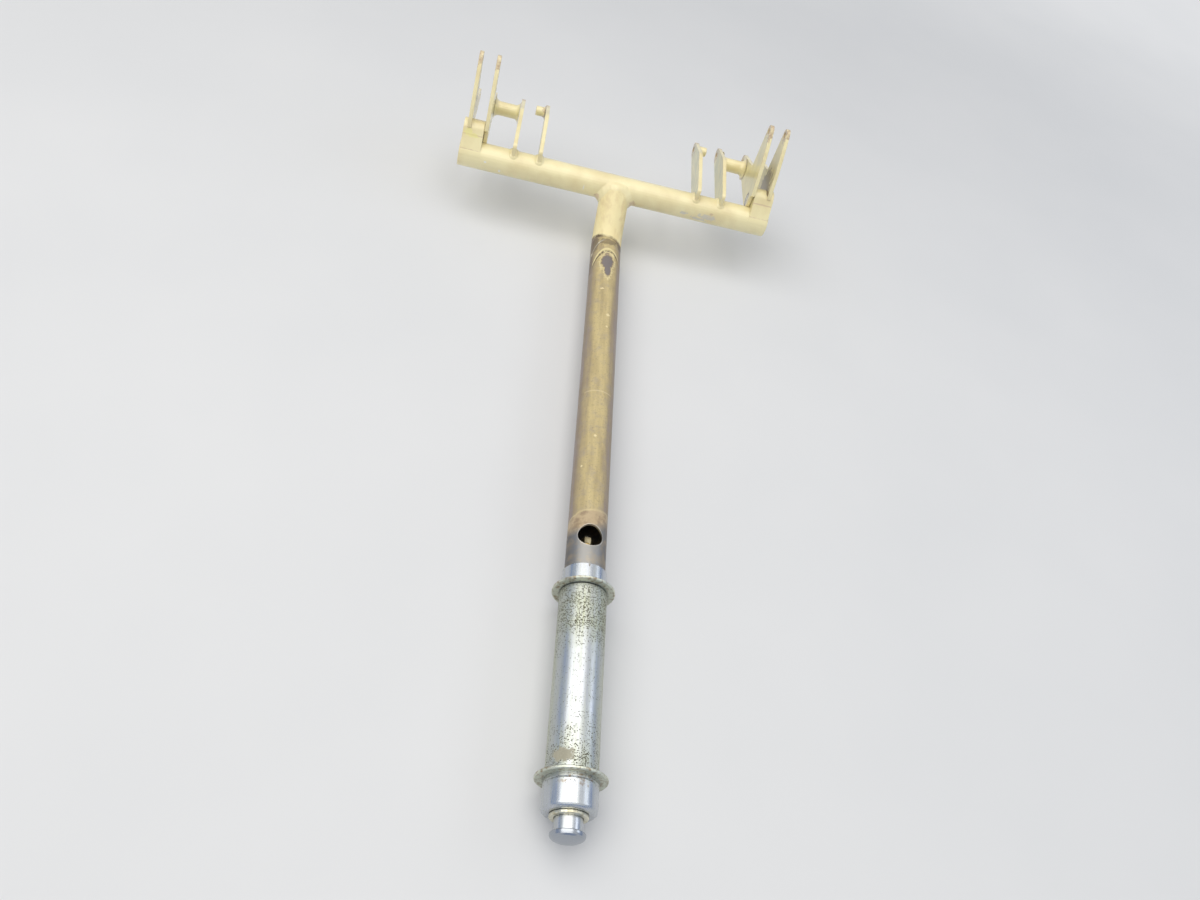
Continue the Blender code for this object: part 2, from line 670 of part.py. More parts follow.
def build_grip():
    flange_end = COLLAR_FLANGE_STATION + FLANGE_THICKNESS
    rim = FLANGE_THICKNESS / 4
    collar_outline = [
        (COLLAR_FLANGE_RADIUS - rim, flange_end),
        (COLLAR_FLANGE_RADIUS, flange_end - rim),
        (COLLAR_FLANGE_RADIUS, COLLAR_FLANGE_STATION + rim),
        (COLLAR_FLANGE_RADIUS - rim, COLLAR_FLANGE_STATION),
        (COLLAR_RADIUS, COLLAR_FLANGE_STATION),
        (COLLAR_RADIUS, COLLAR_STATION + PLATE_EDGE),
        (COLLAR_RADIUS - PLATE_EDGE, COLLAR_STATION),
        (SLEEVE_BORE_RADIUS, COLLAR_STATION),
        (SLEEVE_BORE_RADIUS, flange_end),
    ]
    collar = turned("upper_collar", collar_outline, ON_LEVER, CHROME)
    notch = round_cutter("index_notch", NOTCH_WIDTH / 2, 2 * TUBE_WALL,
                         Matrix.Translation(on_lever(COLLAR_STATION, up=COLLAR_RADIUS))
                         @ Matrix.Diagonal((1.0, 2 * NOTCH_LENGTH / NOTCH_WIDTH, 1.0, 1.0)),
                         PIN_STEPS)
    cut(collar, notch)
    turned("grip_sleeve", ring(SLEEVE_RADIUS, SLEEVE_BORE_RADIUS, SLEEVE_START, SLEEVE_END,
                               PLATE_EDGE), ON_LEVER, CHROME)


def build_end_cap():
    spigot = SLEEVE_BORE_RADIUS - SEAT_GAP
    rim = FLANGE_THICKNESS / 4
    bore = ROD_RADIUS + RUNNING_GAP
    cavity = WEB_STATION + WEB_THICKNESS
    corner = arc((END_BODY_RADIUS - END_BODY_ROUNDING, END_BODY_END - END_BODY_ROUNDING),
                 END_BODY_ROUNDING, 90, 0, 5)
    groove = END_BODY_START + GROOVE_OFFSET
    outline = [(CAVITY_RADIUS, END_BODY_END)] + corner + [
        (END_BODY_RADIUS, groove + GROOVE_WIDTH),
        (END_BODY_RADIUS - GROOVE_DEPTH, groove + GROOVE_WIDTH / 2),
        (END_BODY_RADIUS, groove),
        (END_BODY_RADIUS, END_BODY_START),
        (END_FLANGE_RADIUS - rim, END_BODY_START),
        (END_FLANGE_RADIUS, END_BODY_START - rim),
        (END_FLANGE_RADIUS, END_FLANGE_STATION + rim),
        (END_FLANGE_RADIUS - rim, END_FLANGE_STATION),
        (spigot, END_FLANGE_STATION),
        (spigot, WEB_STATION),
        (bore, WEB_STATION),
        (bore, cavity),
        (CAVITY_RADIUS, cavity),
    ]
    turned("end_cap", outline, ON_LEVER, CHROME)


def build_end_bush():
    bore = BUTTON_NECK_RADIUS + RUNNING_GAP
    outline = [
        (BUSH_RIM_RADIUS - PLATE_EDGE, BUSH_RIM_END),
        (BUSH_RIM_RADIUS, BUSH_RIM_END - PLATE_EDGE),
        (BUSH_RIM_RADIUS, BUSH_RIM_STATION),
        (BUSH_SHANK_RADIUS, BUSH_RIM_STATION),
        (BUSH_SHANK_RADIUS, BUSH_INNER_END),
        (bore, BUSH_INNER_END),
        (bore, BUSH_RIM_END),
    ]
    turned("end_bush", outline, ON_LEVER, BRASS)


# Push button and release rod

def dome(radius, low, high, steps=6):
    """A shallow dome from the axis at the high station to a rim at the low one."""
    points = []
    for step in range(steps + 1):
        angle = math.radians(90 * step / steps)
        points.append((radius * math.sin(angle), low + (high - low) * math.cos(angle)))
    return points


def build_button():
    socket = ROD_RADIUS + SEAT_GAP
    outline = dome(BUTTON_HEAD_RADIUS, BUTTON_HEAD_STATION + BUTTON_RIM, BUTTON_END) + [
        (BUTTON_HEAD_RADIUS, BUTTON_HEAD_STATION + PLATE_EDGE),
        (BUTTON_HEAD_RADIUS - PLATE_EDGE, BUTTON_HEAD_STATION),
        (BUTTON_NECK_RADIUS, BUTTON_HEAD_STATION),
        (BUTTON_NECK_RADIUS, BUTTON_SHOULDER_END),
        (BUTTON_SHOULDER_RADIUS, BUTTON_SHOULDER_END),
        (BUTTON_SHOULDER_RADIUS, BUTTON_INNER_END),
        (socket, BUTTON_INNER_END),
        (socket, BUTTON_INNER_END + BUTTON_SOCKET_DEPTH),
        (0.0, BUTTON_INNER_END + BUTTON_SOCKET_DEPTH),
    ]
    button = turned("push_button", outline, ON_LEVER, CHROME, closed=False)
    tip = dome(ROD_RADIUS, ROD_TIP_STATION + ROD_RADIUS, ROD_TIP_STATION, 4)
    rod = turned("release_rod", [(0.0, ROD_END), (ROD_RADIUS, ROD_END)] + tip[::-1], ON_LEVER,
                 STEEL, SMALL_STEPS, closed=False)
    pin_station = BUTTON_SHOULDER_END + ROD_PIN_OFFSET
    pin_place = Matrix.Translation(on_lever(pin_station)) @ ALONG_X
    pin_hole = round_cutter("rod_pin_hole", ROD_PIN_RADIUS + SEAT_GAP, 3 * BUTTON_NECK_RADIUS,
                            pin_place, PIN_STEPS)
    cut(button, pin_hole)
    cut(rod, pin_hole)
    half = BUTTON_NECK_RADIUS - ROD_PIN_END_GAP
    turned("rod_pin", [(0.0, half), (ROD_PIN_RADIUS, half), (ROD_PIN_RADIUS, -half), (0.0, -half)],
           pin_place, STEEL, PIN_STEPS, closed=False)


def build_rod_nut():
    """A hexagon nut on the rod that rests on the rod guide and holds the grip on the lever."""
    corner = NUT_FLATS / math.sqrt(3)
    end = GUIDE_STATION - SEAT_GAP
    outline = [(0.0, end), (corner, end), (corner, end - NUT_LENGTH), (0.0, end - NUT_LENGTH)]
    nut = turned("rod_nut", outline, ON_LEVER, BRASS, 6, closed=False)
    place = Matrix.Translation(on_lever(end - NUT_LENGTH / 2)) @ ON_LEVER.to_3x3().to_4x4()
    cut(nut, round_cutter("nut_bore", ROD_RADIUS + SEAT_GAP, 2 * NUT_LENGTH, place))


# Springs

def coil(radius, wire, low, high, turns):
    """A compression spring's centre line along Z, with its end turns lying close."""
    points = []
    steps = turns * WIRE_POINTS_PER_TURN
    close = 2 * wire + RUNNING_GAP
    start = low + wire
    run = high - low - 2 * wire - 2 * close
    for step in range(steps + 1):
        turn = step / WIRE_POINTS_PER_TURN
        if turn < 1:
            along = close * turn
        elif turn > turns - 1:
            along = close + run + close * (turn - turns + 1)
        else:
            along = close + run * (turn - 1) / (turns - 2)
        angle = 2 * math.pi * turn
        points.append((radius * math.cos(angle), radius * math.sin(angle), start + along))
    return points


def build_springs():
    grip_radius = SLEEVE_BORE_RADIUS - RUNNING_GAP - GRIP_SPRING_WIRE
    grip_low = TUBE_END + SEAT_GAP
    grip = wire_mesh("grip_spring", coil(grip_radius, GRIP_SPRING_WIRE, grip_low,
                                         WEB_STATION - SEAT_GAP, GRIP_SPRING_TURNS),
                     GRIP_SPRING_WIRE, WIRE_SIDES)
    add_piece("grip_spring", grip, ON_LEVER, STEEL)
    low = WEB_STATION + WEB_THICKNESS + SEAT_GAP
    button = wire_mesh("button_spring", coil(BUTTON_SPRING_RADIUS, BUTTON_SPRING_WIRE, low,
                                             BUTTON_INNER_END - SEAT_GAP, BUTTON_SPRING_TURNS),
                       BUTTON_SPRING_WIRE, WIRE_SIDES)
    add_piece("button_spring", button, ON_LEVER, STEEL)
    shade(grip)
    shade(button)


hole_for_rivet = build_lever_tube()
build_rod_guide(hole_for_rivet)
build_cross_tube()
build_plates()
build_spacers()
build_grip()
build_end_cap()
build_end_bush()
build_button()
build_rod_nut()
build_springs()
bpy.context.view_layer.update()
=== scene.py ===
# %% [markdown]
# # Dressing a landing gear retraction handle
# The real object is a tee lever, welded from two steel tubes. A hand takes hold of the chromed
# grip at the bottom, and the tee's cross tube swings on a pivot. The shapes come finished, as a
# fixed model. This lesson gives each of them the finish that years of use have left on it, adds
# the weld beads that join the tubes and plates, and sets up a small studio.

# %% Load the frame
import math
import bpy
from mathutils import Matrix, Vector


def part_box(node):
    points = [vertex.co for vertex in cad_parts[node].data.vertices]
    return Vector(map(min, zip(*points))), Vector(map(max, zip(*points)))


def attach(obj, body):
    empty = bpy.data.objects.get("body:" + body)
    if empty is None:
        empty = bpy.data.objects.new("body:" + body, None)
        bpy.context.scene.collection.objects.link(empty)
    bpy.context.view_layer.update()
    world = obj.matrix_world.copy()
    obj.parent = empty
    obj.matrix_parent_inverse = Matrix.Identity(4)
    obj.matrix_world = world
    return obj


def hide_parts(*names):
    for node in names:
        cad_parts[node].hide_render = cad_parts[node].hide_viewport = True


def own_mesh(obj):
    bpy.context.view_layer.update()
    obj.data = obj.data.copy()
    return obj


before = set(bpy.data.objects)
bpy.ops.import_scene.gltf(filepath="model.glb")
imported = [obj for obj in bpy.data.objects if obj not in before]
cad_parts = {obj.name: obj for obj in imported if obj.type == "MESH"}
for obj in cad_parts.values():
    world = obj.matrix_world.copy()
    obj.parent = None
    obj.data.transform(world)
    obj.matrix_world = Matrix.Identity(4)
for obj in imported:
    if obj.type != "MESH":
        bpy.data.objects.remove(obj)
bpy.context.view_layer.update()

from types import SimpleNamespace

import bmesh
import bpy
from mathutils import Vector

# %% [markdown]
# ## Places
# A finish that follows the object, such as a ring of dark paint round a tube, needs places to
# follow. They could be typed in as world coordinates, but then they would break when the model
# moves. Here they are measured from the model: the pivot is the middle of the cross tube, and the
# lever's axis runs through the middle of the grip's end cap. A station is a distance from the
# pivot towards the grip.

# %% Measure the places
MM = 0.001
BACK = (0.0, 1.0, 0.0)
UP = (0.0, 0.0, 1.0)


def middle(node):
    low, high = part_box(node)
    return (low + high) / 2


def radius_of(node):
    low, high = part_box(node)
    return (high.z - low.z) / 2


PIVOT = middle("cross_tube")
LEVER_Z = middle("end_cap").z
CROSS_RADIUS = radius_of("cross_tube")
LEVER_RADIUS = 12.7 * MM
print("pivot", [round(v / MM, 1) for v in PIVOT], "cross tube radius", round(CROSS_RADIUS / MM, 2))


def from_pivot(x, y, z):
    """A world point from millimetres across, along and above the pivot."""
    return PIVOT + Vector((x, y, z)) * MM


# %% [markdown]
# ## Nodes, colours and coats
# A material is a graph of nodes. Writing each node out takes several lines, so one function adds
# a node, sets its options and feeds its inputs, by name or in the order that Blender shows them:
# a Map Range takes its value, the two ends it comes from and the two it goes to. An input may be a
# number, a colour, or another node, whose first output is then used. Colours are hex values, as a
# paint chart shows them, and one function turns them into the linear values that Blender mixes.
# Paint and dirt lie in coats. One step lays them over each other, each with a mask that is one
# where the coat covers and nought where it has worn away.

# %% Colours and nodes
def srgb(code):
    """A hex colour as linear red, green, blue and alpha."""
    values = [int(code[place:place + 2], 16) / 255 for place in (1, 3, 5)]
    linear = [v / 12.92 if v <= 0.04045 else ((v + 0.055) / 1.055) ** 2.4 for v in values]
    return (*linear, 1.0)


def feed(node, inputs):
    """Gives a node its inputs, by name or in order: values are set, nodes and outputs linked."""
    pairs = inputs.items() if isinstance(inputs, dict) else enumerate(inputs)
    for key, value in pairs:
        if isinstance(value, bpy.types.Node):
            value = value.outputs[0]
        if isinstance(value, bpy.types.NodeSocket):
            node.id_data.links.new(value, node.inputs[key])
        else:
            node.inputs[key].default_value = value


def adder(tree):
    """The function that adds shader nodes to one tree."""
    def add(kind, inputs=(), stops=(), **settings):
        """Adds a node with its settings and inputs; stops are a colour ramp's."""
        node = tree.nodes.new("ShaderNode" + kind)
        for name, value in settings.items():
            setattr(node, name, value)
        for place, colour in stops:
            node.color_ramp.elements.new(place).color = colour
        if stops:
            node.color_ramp.elements.remove(node.color_ramp.elements[0])
            node.color_ramp.elements.remove(node.color_ramp.elements[-1])
        feed(node, inputs)
        return node
    return add


def per_metre(step_mm):
    """The texture scale that gives a pattern whose step is this many millimetres."""
    return 1 / (step_mm * MM)


def new_material(name):
    """A material, its Principled shader and the function that adds nodes to it."""
    material = bpy.data.materials.new(name)
    material.use_nodes = True
    tree = material.node_tree
    return material, tree.nodes["Principled BSDF"], adder(tree)


def lay_over(add, colour, *coats):
    """Lays coats over a colour. Each is its tone, its mask, and what else thins it out."""
    for tone, cover, *others in coats:
        for other in others:
            cover = add("Math", [cover, other], operation="MULTIPLY")
        colour = add("MixRGB", [cover, colour, tone])
    return colour


# %% [markdown]
# ## Marks that wear has left
# Chips, scratches and stains sit at certain places. Painting an image would need a file and a map
# of the surface. It is simpler to ask how far a point is from the mark's centre: the distance
# fades from one to nought over the mark's radius. A little noise bends the distance, so that the
# mark's outline is ragged, as a chip's is. Edges are found by a Bevel node, whose rounded normal
# leaves the true one there.

# %% Masks for marks and edges
def mark(x, y, z, *radii):
    """A mark's centre, in millimetres from the pivot, and its three radii."""
    return from_pivot(x, y, z), [radius * MM for radius in radii]


def grown(marks, factor):
    """The same marks with larger radii."""
    return [(centre, [factor * radius for radius in radii]) for centre, radii in marks]


def mark_mask(add, point, marks, raggedness, grain_mm):
    """One where a point is inside any of the marks."""
    noise = add("TexNoise", {"Vector": point, "Scale": per_metre(grain_mm), "Detail": 4.0,
                             "Roughness": 0.6})
    total = None
    for centre, radii in marks:
        offset = add("VectorMath", [point, tuple(centre)], operation="SUBTRACT")
        scaled = add("VectorMath", [offset, tuple(1 / radius for radius in radii)],
                     operation="MULTIPLY")
        length = add("VectorMath", [scaled], operation="LENGTH").outputs["Value"]
        ragged = add("Math", [noise, 2 * raggedness, length], operation="MULTIPLY_ADD")
        mask = add("MapRange", [ragged, 1.15 + raggedness, 0.85 + raggedness])
        total = mask if total is None else add("Math", [total, mask], operation="MAXIMUM")
    return total


def lay_marks(add, point, colour, kinds):
    """Lays kinds of marks over a colour. Gives the new colour, and the kinds' masks by name."""
    masks = {}
    for name, (marks, raggedness, grain_mm, strength, tone) in kinds.items():
        masks[name] = mark_mask(add, point, marks, raggedness, grain_mm)
        colour = lay_over(add, colour, (tone, masks[name], strength))
    return colour, masks


def edge_mask(add, radius_mm, low=0.07, high=0.2):
    """One along outer and inner edges."""
    rounded = add("Bevel", {"Radius": radius_mm * MM}, samples=6)
    true = add("NewGeometry").outputs["Normal"]
    same = add("VectorMath", [rounded, true], operation="DOT_PRODUCT").outputs["Value"]
    return add("MapRange", [same, 1 - low, 1 - high])


# %% [markdown]
# ## Cream enamel
# The tee's head is sprayed with a glossy cream enamel over yellow green primer. Sprayed enamel
# gives the eye a soft, broad highlight with a faint orange peel, and it yellows unevenly. The
# flat sides of the plates got a thinner coat, so brush strokes of green and yellow primer show
# through them, less on the cranks than on the straps. Their edges and tips are rubbed to a
# pinkish brown. Holes and the corners where plates meet tubes get a painted brown shade, which
# Ambient Occlusion finds, and so does the right outer crank's inner face between its arms.

# %% Colours of the enamel
CREAM = srgb("#FBEFBC")
CREAM_DARK = srgb("#EAD8A2")
PRIMER_GREEN = srgb("#B9BD9A")
PRIMER_YELLOW = srgb("#E6DEA2")
RUBBED_EDGE = srgb("#D2B494")
RUBBED_TIP = srgb("#B3937A")
PAINTED_SHADE_BROWN = srgb("#6A5236")
BURR_DARK = srgb("#43372A")
CHIP_WHITE = srgb("#FAF6EA")
WORN_BLUE = srgb("#D2D0CE")
CHROMATE = srgb("#F4EC92")
BARE_CHIP = srgb("#C9C7C0")

# %% Places of the enamel's marks
SCRAPES = [mark(114.5, 10.7, 14.6, 1.2, 2.0, 3.2), mark(114.5, 9.4, 10.2, 1.2, 1.7, 1.6)]
# Each kind has its marks, how ragged they are, the grain of their outline in millimetres, how
# strongly they cover, and their colour. Later kinds lie over earlier ones.
ENAMEL_MARKS = {
    # The first kind is a painted brown shade on the right outer crank's inner face, between its
    # arms.
    "shade_between_cranks": ([mark(128.8, 20.0, 24.0, 1.0, 15.0, 15.0)], 0.9, 5.0, 0.75, PAINTED_SHADE_BROWN),
    "seam": ([mark(side * 126.5, -1.4, 18.6, 9.2, 2.6, 0.55) for side in (-1, 1)],
             0.6, 1.6, 0.55, RUBBED_EDGE),
    "chromate": ([mark(-131.0, -0.8, 20.6, 4.2, 3.0, 2.4),
                  mark(-127.0, -1.6, 18.4, 4.6, 3.0, 1.4)], 1.4, 3.5, 0.6, CHROMATE),
    "worn": ([mark(81.5, -10.9, -0.4, 9.0, 4.0, 2.4), mark(76.0, -10.6, -4.0, 6.0, 3.0, 1.6),
              mark(61.0, -11.0, -1.0, 3.0, 2.5, 1.5)], 1.6, 3.0, 0.6, WORN_BLUE),
    "brown": ([mark(85.3, -10.5, 3.6, 1.7, 1.6, 0.9), mark(-15.0, -11.0, -5.0, 2.8, 2.6, 3.0),
               mark(15.2, -10.6, -4.4, 3.4, 2.6, 3.2)], 0.9, 2.2, 0.6, RUBBED_EDGE),
    "burr": (grown(SCRAPES, 1.55), 0.6, 1.2, 1.0, BURR_DARK),
    "scrape": (SCRAPES, 0.5, 1.2, 1.0, BARE_CHIP),
    "chip": ([mark(-112.9, -10.9, 2.3, 1.1, 1.1, 0.8), mark(-100.2, -10.6, -3.1, 1.0, 1.4, 1.4),
              mark(-28.1, -11.1, 0.6, 0.4, 1.6, 2.6)], 0.5, 0.9, 1.0, CHIP_WHITE),
}
print("enamel marks:", {name: len(kind[0]) for name, kind in ENAMEL_MARKS.items()})


# %% Rubbed tips
def furthest(node, direction):
    """The point of a plate that reaches furthest in a direction, its rubbed tip."""
    points = [vertex.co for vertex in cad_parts[node].data.vertices]
    return max(points, key=lambda co: co.dot(Vector(direction)))


TIP_DEPTH = 3.5 * MM
TIPS = []
for side in ("left", "right"):
    for place in ("outer", "inner"):
        for plate, direction, reach in (("strap", BACK, 13.0), ("crank", UP, 10.0),
                                        ("crank", BACK, 9.0)):
            TIPS.append((furthest("%s_%s_%s" % (side, place, plate), direction),
                         (TIP_DEPTH, reach * MM, reach * MM)))
print("rubbed tips:", len(TIPS))

# %% Primer and painted corner shade
# Steps of the patterns in millimetres: the clouds of a coat that yellowed, the strokes of a small
# brush, the grain that rubbing leaves, and the orange peel of a spray gun.
CLOUD, STROKE, GRAIN, PEEL = 16.0, 6.0, 3.2, 1.8
STRAPS_END = 100 * MM
CRANKS_START = 108 * MM
STROKE_RADIUS = 35 * MM


def primer_coat(add, spot):
    """The brushed primer's colour, and a mask for the flat sides that it shows through."""
    facing = add("SeparateXYZ", [spot.outputs["Normal"]])
    sideways = add("Math", [facing], operation="ABSOLUTE")
    thin = add("MapRange", [sideways, 0.75, 0.95, 0.0, 0.85])
    arm = add("VectorMath", [spot.outputs["Object"], tuple(PIVOT)], operation="SUBTRACT")
    arm = add("SeparateXYZ", [arm])
    outer = add("Math", [arm], operation="ABSOLUTE")
    cover = add("MapRange", [outer, STRAPS_END, CRANKS_START, 1.0, 0.45])
    thin = add("Math", [thin, cover], operation="MULTIPLY")
    bearing = add("Math", [arm.outputs["Z"], arm.outputs["Y"]], operation="ARCTAN2")
    around = add("Math", [bearing, STROKE_RADIUS], operation="MULTIPLY")
    reach = add("CombineXYZ", [0.0, arm.outputs["Y"], arm.outputs["Z"]])
    reach = add("VectorMath", [reach], operation="LENGTH").outputs["Value"]
    reach = add("Math", [reach, 0.4], operation="MULTIPLY")
    strokes = add("CombineXYZ", [arm, around, reach])
    strokes = add("TexNoise", {"Vector": strokes, "Scale": per_metre(STROKE), "Detail": 5.0})
    strokes = add("MapRange", [strokes, 0.34, 0.7])
    return lay_over(add, PRIMER_GREEN, (PRIMER_YELLOW, strokes)), thin


def corner_shade_mask(add, grain):
    """A patchy mask of painted brown shade in holes and in the corners between plates and tubes.
    """
    corner = add("AmbientOcclusion", {"Distance": 5 * MM}, samples=6,
                 only_local=False).outputs["AO"]
    shade_in_corners = add("MapRange", [corner, 0.44, 0.2, 0.0, 0.9])
    patchy = add("MapRange", [grain, 0.38, 0.62])
    return add("Math", [shade_in_corners, patchy], operation="MULTIPLY")


# %% Cream enamel
def cream_enamel(name, edge_wear):
    material, shader, add = new_material(name)
    spot = add("TexCoord")
    point = spot.outputs["Object"]
    cloud = add("TexNoise", {"Vector": point, "Scale": per_metre(CLOUD), "Detail": 5.0})
    shade = add("MapRange", [cloud, 0.40, 0.80])
    primer, thin = primer_coat(add, spot)
    grain = add("TexNoise", {"Vector": point, "Scale": per_metre(GRAIN), "Detail": 6.0,
                             "Roughness": 0.65})
    rub = add("MapRange", [grain, 0.36, 0.62, 0.0, edge_wear])
    patchy = add("MapRange", [grain, 0.35, 0.6, 0.2, 0.8])
    shade_in_corners = corner_shade_mask(add, grain)
    # The last coat is a painted brown shade in holes and in the corners that Ambient Occlusion
    # finds.
    colour = lay_over(add, CREAM, (CREAM_DARK, shade), (primer, thin),
                      (RUBBED_EDGE, edge_mask(add, 1.2), rub),
                      (RUBBED_TIP, mark_mask(add, point, TIPS, 1.3, 3.0), patchy), (PAINTED_SHADE_BROWN, shade_in_corners))
    colour, masks = lay_marks(add, point, colour, ENAMEL_MARKS)
    peel = add("TexNoise", {"Vector": point, "Scale": per_metre(PEEL), "Detail": 2.0})
    sunk = add("Math", [masks["chip"], -0.6, peel], operation="MULTIPLY_ADD")
    sunk = add("Math", [masks["seam"], -1.5, sunk], operation="MULTIPLY_ADD")
    relief = add("Bump", {"Strength": 0.25, "Distance": 0.08 * MM, "Height": sunk})
    rough = add("MapRange", [grain, 0.0, 1.0, 0.27, 0.46])
    rough = add("Math", [shade_in_corners, 0.3, rough], operation="MULTIPLY_ADD")
    feed(shader, {"Base Color": colour, "Roughness": rough, "Metallic": masks["scrape"],
                  "Normal": relief, "IOR": 1.5, "Coat Weight": 0.8, "Coat Roughness": 0.2})
    return material


ENAMEL = cream_enamel("glossy_cream_enamel", 0.8)
BEAD_ENAMEL = cream_enamel("cream_enamel_over_welds", 0.0)
print("enamel nodes:", len(ENAMEL.node_tree.nodes))

# %% [markdown]
# ## The lever tube's coats
# The long tube wears several finishes one below the other. The cream of the head ends at the
# bend, with a dark line where the tube was masked. Below it comes a thin olive paint, with a
# painted brown shade and a painted mauve sheen along the tube's sides. Near the grip the paint
# gives way to a tan primer and then to bare grey steel, which the grip's collar has polished;
# the steel's sides get a painted shade too. The coats are told apart by station and by the
# angle round the tube, so their borders are wavy lines that run round it.

# %% Borders round the tube
def tube_coordinates(add, point):
    """Nodes that give the station in millimetres and the angle from the top, towards +X."""
    parts = add("SeparateXYZ", [point])
    station = add("Math", [parts.outputs["Y"], -1 / MM, PIVOT.y / MM], operation="MULTIPLY_ADD")
    height = add("Math", [parts.outputs["Z"], LEVER_Z], operation="SUBTRACT")
    angle = add("Math", [parts, height], operation="ARCTAN2")
    return station, angle


def curved_border(tube, level, slope, bend):
    """The station of a border: level + slope * angle + bend * angle squared."""
    inner = tube.add("Math", [tube.angle, bend, slope], operation="MULTIPLY_ADD")
    return tube.add("Math", [inner, tube.angle, level], operation="MULTIPLY_ADD")


def below(add, station, border, blur_mm):
    """Nought above a border and one below it, with a blur in millimetres."""
    past = add("Math", [station, border], operation="SUBTRACT")
    return add("MapRange", [past, -blur_mm / 2, blur_mm / 2])


def band(add, station, border, width_mm):
    """One on a border and nought a width away from it."""
    past = add("Math", [station, border], operation="SUBTRACT")
    away = add("Math", [past], operation="ABSOLUTE")
    return add("MapRange", [away, width_mm, 0.35 * width_mm])


def between(tube, low, high, fade=0.25):
    """One between two angles, fading out past them."""
    offset = tube.add("Math", [tube.angle, (low + high) / 2], operation="SUBTRACT")
    away = tube.add("Math", [offset], operation="ABSOLUTE")
    half = (high - low) / 2
    return tube.add("MapRange", [away, half + fade, half])


# %% Colours of the coats
CREAM_SMEAR = srgb("#DCC694")
OLIVE = srgb("#CDBB88")
OLIVE_DARK = srgb("#A6946C")
OLIVE_FLANK_SHADE_AND_SPECK = srgb("#84725F")
MAUVE = srgb("#988C8B")
DARK_RING_AND_CREASE_SHADOW = srgb("#5A4A38")
CREAM_RIDGE_HIGHLIGHT_AND_EDGE = srgb("#E8DAA6")
CREASE_HIGHLIGHT_WHITE = srgb("#EFE8D2")
BARE_PATCH = srgb("#857D7B")
PATCH_RIM = srgb("#E4D6A4")
PATCH_EDGE = srgb("#8A7258")
NICK_PALE = srgb("#E8D9AC")
PRIMER_TAN = srgb("#BFAA88")
PRIMER_DARK = srgb("#947E64")
STEEL_GREY = srgb("#9C9A96")
STEEL_FLANK_SHADE = srgb("#6F6D6D")
LIP_BRIGHT = srgb("#CBC5B7")

# %% Places on the tube
BEND_END = 110.0
RUBBED_RING = 229.0
HOLE_STATION = 353.0
HOLE_RADIUS = 7.9
# Borders that run round the tube, each a level, a slope and a bend.
CREAM_END = (49.7, 2.6, -1.1)
FLANK_CREASE = (53.0, 0.0, 7.8)
BEND_RIDGE = (66.0, 0.0, 13.0)
PRIMER_START = (333.5, -2.05, 1.39)
STEEL_START = (347.9, -4.85, -3.7)


def tube_mark(station, angle, *radii):
    """A mark on the lever tube's surface, with radii in millimetres."""
    centre = Vector((LEVER_RADIUS * math.sin(angle), PIVOT.y - station * MM,
                     LEVER_Z + LEVER_RADIUS * math.cos(angle)))
    return centre, [radius * MM for radius in radii]


STAINS = [
    tube_mark(57.0, -1.1, 4.5, 9.0, 6.0), tube_mark(54.0, 0.95, 4.0, 5.0, 5.0),
    tube_mark(78.0, -1.5, 2.5, 14.0, 5.0), tube_mark(56.0, -0.1, 9.0, 4.0, 4.0),
]
PATCHES = [tube_mark(82.0, -0.02, 4.6, 8.5, 3.0), tube_mark(92.0, 0.02, 2.4, 8.0, 2.5)]
NICKS = [
    tube_mark(116.5, -0.26, 1.6, 0.8, 1.2), tube_mark(146.8, 0.22, 1.5, 1.5, 1.0),
    tube_mark(160.2, 0.18, 0.9, 0.9, 0.8), tube_mark(271.5, -0.1, 0.9, 1.1, 0.8),
    tube_mark(297.5, -0.75, 0.8, 1.0, 0.8),
]
TUBE_MARKS = {
    "rim": (grown(PATCHES, 1.5), 0.8, 2.2, 0.85, PATCH_RIM),
    "burnt": (grown(PATCHES, 1.15), 0.45, 2.2, 1.0, PATCH_EDGE),
    "bare": (PATCHES, 0.35, 2.2, 1.0, BARE_PATCH),
    "nick": (NICKS, 0.6, 1.1, 1.0, NICK_PALE),
}
print("tube marks:", {name: len(kind[0]) for name, kind in TUBE_MARKS.items()})

# %% [markdown]
# ## Olive paint
# Brushed paint that hands have worn shows long streaks, so the streaks' noise is drawn out along
# the tube. A coarser noise moves the borders of all coats up and down by a few millimetres. The
# steps of the patterns are 4.5 mm for the streaks, 6 mm for the borders, 9 mm for grime and
# 1.3 mm for specks of dirt. What several coats share is kept together as one tube.

# %% Olive paint
def tube_patterns(add):
    """Coordinates and patterns that the tube's coats share."""
    tube = SimpleNamespace(add=add, point=add("TexCoord").outputs["Object"])
    tube.station, tube.angle = tube_coordinates(add, tube.point)
    tube.ragged = add("TexNoise", {"Vector": tube.point, "Scale": per_metre(6),
                                   "Detail": 5.0, "Roughness": 0.6})
    wobble = add("MapRange", [tube.ragged, 0.0, 1.0, -3.0, 3.0])
    tube.slight, tube.half_loose, tube.loose = [
        add("Math", [wobble, share, tube.station], operation="MULTIPLY_ADD")
        for share in (0.25, 0.6, 1.0)]
    stretched = add("VectorMath", [tube.point, (1.0, 0.1, 1.0)], operation="MULTIPLY")
    tube.streaks = add("TexNoise", {"Vector": stretched, "Scale": per_metre(4.5),
                                    "Detail": 5.0, "Roughness": 0.55})
    tube.fine = add("TexNoise", {"Vector": tube.point, "Scale": per_metre(1.3), "Detail": 4.0})
    side = add("Math", [tube.angle, 0.12], operation="ADD")
    side = add("Math", [side], operation="ABSOLUTE")
    tube.side = add("Math", [wobble, 0.06, side], operation="MULTIPLY_ADD")
    # The mask below is a painted shade: it darkens the tube's sides against its top.
    tube.held = add("MapRange", [tube.side, 0.42, 1.1, 0.0, 0.9])
    return tube


